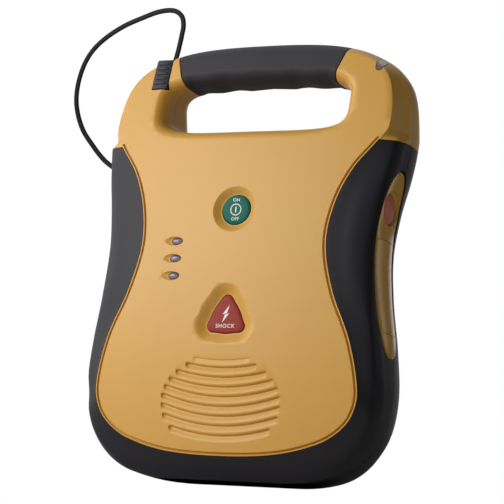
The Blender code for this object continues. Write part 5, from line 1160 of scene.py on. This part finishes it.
tail_route += [(TAIL_X, TAIL_Y, 0.192), (-0.0716, TAIL_Y, 0.1796)]
tail_route += [(x, TAIL_Y, TAIL_Z) for x in (-0.0684, -0.064, -0.060)]
route, length = smooth_route(loop_route, CABLE_STEP)
cable = twin_lead("plug_cable", route)
finish(cable, soft_black, None, "cable_jacket", "electrode_cable", degrees=60)
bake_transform(cable)
route, length = smooth_route(tail_route, CABLE_STEP)
tail = twin_lead("pouch_lead", route)
finish(tail, soft_black, None, "cable_jacket", "cable_tail", degrees=60)
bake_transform(tail)


# Pads pouch. A flat packet of white foil laminate round the two pads, heat-sealed along its edges, pushed into the
# pocket in the back under its lip. The seal is flat, and the middle stands up over the pads.
POUCH_RISE, POUCH_CORNER, POUCH_SEAL = 0.186, 0.012, 0.006
FILM_BACK, FILM_FRONT, PADS_RISE, PAD_RISE, CREASE_RISE = 0.0001, 0.0009, 0.0030, 0.0009, 0.00028
PAD_SHARES, PAD_X, PAD_HALF_WIDTH, PAD_HALF_RISE = (0.27, 0.73), 0.003, 0.050, 0.035
pouch_low, pouch_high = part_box("pads_pouch")
pouch_mid = ((pouch_low[0] + pouch_high[0]) / 2, (pouch_low[2] + pouch_high[2]) / 2)
columns, rows = 88, 120


def pouch_point(i, k):
    """A place on the flat packet, with its corners rounded, and how far it is from the edge."""
    half_x, half_z = POUCH_WIDTH / 2, POUCH_RISE / 2
    x, z = half_x * (2 * i / columns - 1), half_z * (2 * k / rows - 1)
    cx, cz = half_x - POUCH_CORNER, half_z - POUCH_CORNER
    dx, dz = abs(x) - cx, abs(z) - cz
    if dx > 0 and dz > 0:
        shrink = max(dx, dz) / math.hypot(dx, dz)
        x, z = math.copysign(cx + dx * shrink, x), math.copysign(cz + dz * shrink, z)
        return x, z, POUCH_CORNER - math.hypot(dx, dz) * shrink
    return x, z, min(half_x - abs(x), half_z - abs(z))


def pouch_swell(x, z, edge):
    """How far the upper film stands up: nothing at the seal, the pads' outlines in the middle, and a few creases."""
    swell = PADS_RISE * ease((edge - POUCH_SEAL) / 0.010)
    for share in PAD_SHARES:
        pad_z = POUCH_RISE * (share - 0.5)
        reach = min(PAD_HALF_WIDTH - abs(x - PAD_X), PAD_HALF_RISE - abs(z - pad_z))
        swell += PAD_RISE * ease((reach + 0.001) / 0.005)
    wave = math.sin(210 * x + 90 * z) * math.sin(160 * z - 60 * x + 1.3) + 0.6 * math.sin(420 * x - 300 * z)
    return swell + CREASE_RISE * wave * ease((edge - POUCH_SEAL) / 0.006)


bm = bmesh.new()
upper, lower = {}, {}
for i in range(columns + 1):
    for k in range(rows + 1):
        x, z, edge = pouch_point(i, k)
        spot = (pouch_mid[0] + x, pouch_mid[1] + z)
        upper[i, k] = bm.verts.new((spot[0], pouch_low[1] + FILM_FRONT + pouch_swell(x, z, edge), spot[1]))
        lower[i, k] = bm.verts.new((spot[0], pouch_low[1] + FILM_BACK, spot[1]))
for i in range(columns):
    for k in range(rows):
        bm.faces.new((upper[i, k], upper[i + 1, k], upper[i + 1, k + 1], upper[i, k + 1]))
        bm.faces.new((lower[i, k + 1], lower[i + 1, k + 1], lower[i + 1, k], lower[i, k]))
border = [(i, 0) for i in range(columns)] + [(columns, k) for k in range(rows)]
border += [(i, rows) for i in range(columns, 0, -1)] + [(0, k) for k in range(rows, 0, -1)]
for a, b in zip(border, border[1:] + border[:1]):
    bm.faces.new((lower[a], lower[b], upper[b], upper[a]))
pouch = new_piece("foil_pouch", bm)
# White foil laminate, half glossy, with soft creases.
foil, tree, shader = new_material("foil_laminate", ("IOR", 1.5))
place = add_node(tree, "ShaderNodeTexCoord").outputs["Object"]
crease = add_node(tree, "ShaderNodeTexNoise", [("Scale", 1 / 0.018), ("Detail", 4.0)], [("Vector", place)])
tint = add_node(tree, "ShaderNodeMix", [(6, linear("#D9DCDE")), (7, linear("#C4C9CE"))], [(0, crease.outputs[0])],
                data_type="RGBA")
rough = add_node(tree, "ShaderNodeMapRange", [("To Min", 0.22), ("To Max", 0.42)], [("Value", crease.outputs[0])])
bump = add_node(tree, "ShaderNodeBump", [("Strength", 0.6), ("Distance", 0.0008)], [("Height", crease.outputs[0])])
tree.links.new(tint.outputs[2], shader.inputs["Base Color"])
tree.links.new(rough.outputs[0], shader.inputs["Roughness"])
tree.links.new(bump.outputs[0], shader.inputs["Normal"])
finish(pouch, foil, "pads", "pouch_film", "pads_pouch", degrees=60)


# Inside pieces. They keep the shape of their solids and only get their finishes: boards, capacitor, coil, relay,
# loudspeaker, springs, contacts, cells, gasket and screws.
def metal(name, colour, worn_colour, roughness, brush_mm):
    """A metal with the fine scratches of its making."""
    made, tree, shader = new_material(name, ("Metallic", 1.0))
    place = add_node(tree, "ShaderNodeTexCoord").outputs["Object"]
    stretch = add_node(tree, "ShaderNodeMapping", [("Scale", (1, 1, 0.08))], [("Vector", place)])
    brush = add_node(tree, "ShaderNodeTexNoise", [("Scale", 1 / (0.001 * brush_mm)), ("Detail", 3.0)],
                     [("Vector", stretch.outputs[0])])
    tint = add_node(tree, "ShaderNodeMix", [(6, linear(colour)), (7, linear(worn_colour))], [(0, brush.outputs[0])],
                    data_type="RGBA")
    rough = add_node(tree, "ShaderNodeMapRange", [("To Min", roughness - 0.08), ("To Max", roughness + 0.08)],
                     [("Value", brush.outputs[0])])
    tree.links.new(tint.outputs[2], shader.inputs["Base Color"])
    tree.links.new(rough.outputs[0], shader.inputs["Roughness"])
    return made


# Dull silicone and plastics, printed boards, shrunk sleeves and brushed metals, each in its usual colour.
silicone = moulded("grey_silicone", "#8C8F94", "#7F8287", 0.6, 0.4, 0.006, 0.5, 1.41)
black_abs = moulded("black_abs", "#2A2A2D", "#242427", 0.45, 0.5, 0.008)
circuit_board = moulded("circuit_board", "#1F6B45", "#2C8A58", 0.4, 1.8, 0.02)
can_sleeve = moulded("can_sleeve", "#2E4E7E", "#27456F", 0.35, 0.8, 0.004)
relay_case = moulded("relay_case", "#3A4A63", "#33425A", 0.4, 0.5, 0.006)
ferrite = moulded("ferrite", "#3B3836", "#312F2D", 0.7, 0.3, 0.01)
pad_gel = moulded("pad_gel", "#D8DDE0", "#C8CFD4", 0.35, 2.0, 0.02, 0.5, 1.4)
cell_wrap = moulded("cell_wrap", "#4C6A55", "#43604C", 0.4, 0.8, 0.004)
screw_steel = metal("screw_steel", "#B9BABC", "#9C9DA0", 0.34, 0.5)
spring_steel = metal("spring_steel", "#A7A8AB", "#8E8F93", 0.3, 0.4)
brass = metal("brass", "#C9A55C", "#B58F49", 0.28, 0.4)
copper = metal("enamelled_copper", "#B06A3B", "#9A5630", 0.3, 0.6)
for material, names in (
    (silicone, ["case_gasket", "on_off_dome", "shock_dome"]),
    (circuit_board, ["main_board", "power_board"]),
    (can_sleeve, ["main_capacitor"]),
    (black_abs, ["capacitor_clamp", "speaker_screen", "eject_housing", "battery_contacts", "connector_socket"]),
    (copper, ["discharge_coil"]),
    (relay_case, ["patient_relay"]),
    (ferrite, ["transformer", "speaker_cone", "speaker_magnet"]),
    (spring_steel, ["speaker_frame", "eject_spring", "battery_latch"]),
    (brass, ["bay_contacts", "socket_pin_1", "socket_pin_2"]),
    (pad_gel, ["electrode_pad_1", "electrode_pad_2"]),
    (cell_wrap, [f"battery_cell_{n}" for n in range(1, 7)]),
    (screw_steel, [f"case_screw_{n}" for n in range(1, 7)]),
):
    for name in names:
        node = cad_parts[name]
        node.data.materials.clear()
        node.data.materials.append(material)

# The silicone domes under the front buttons and the spring behind the eject button get meshes of their own. They
# give way as pressed.
for name, joint, axis, travel in (("on_off_dome", "on_off_press", 1, 0.0015),
                                  ("shock_dome", "shock_press", 1, 0.0015),
                                  ("eject_spring", "eject_press", 0, 0.0030)):
    low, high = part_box(name)
    still = [(a + b) / 2 for a, b in zip(low, high)]
    still[axis] = high[1] if axis == 1 else low[0]
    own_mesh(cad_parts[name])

for spare in (fine_skin, sunk_skin):
    bpy.data.objects.remove(spare)
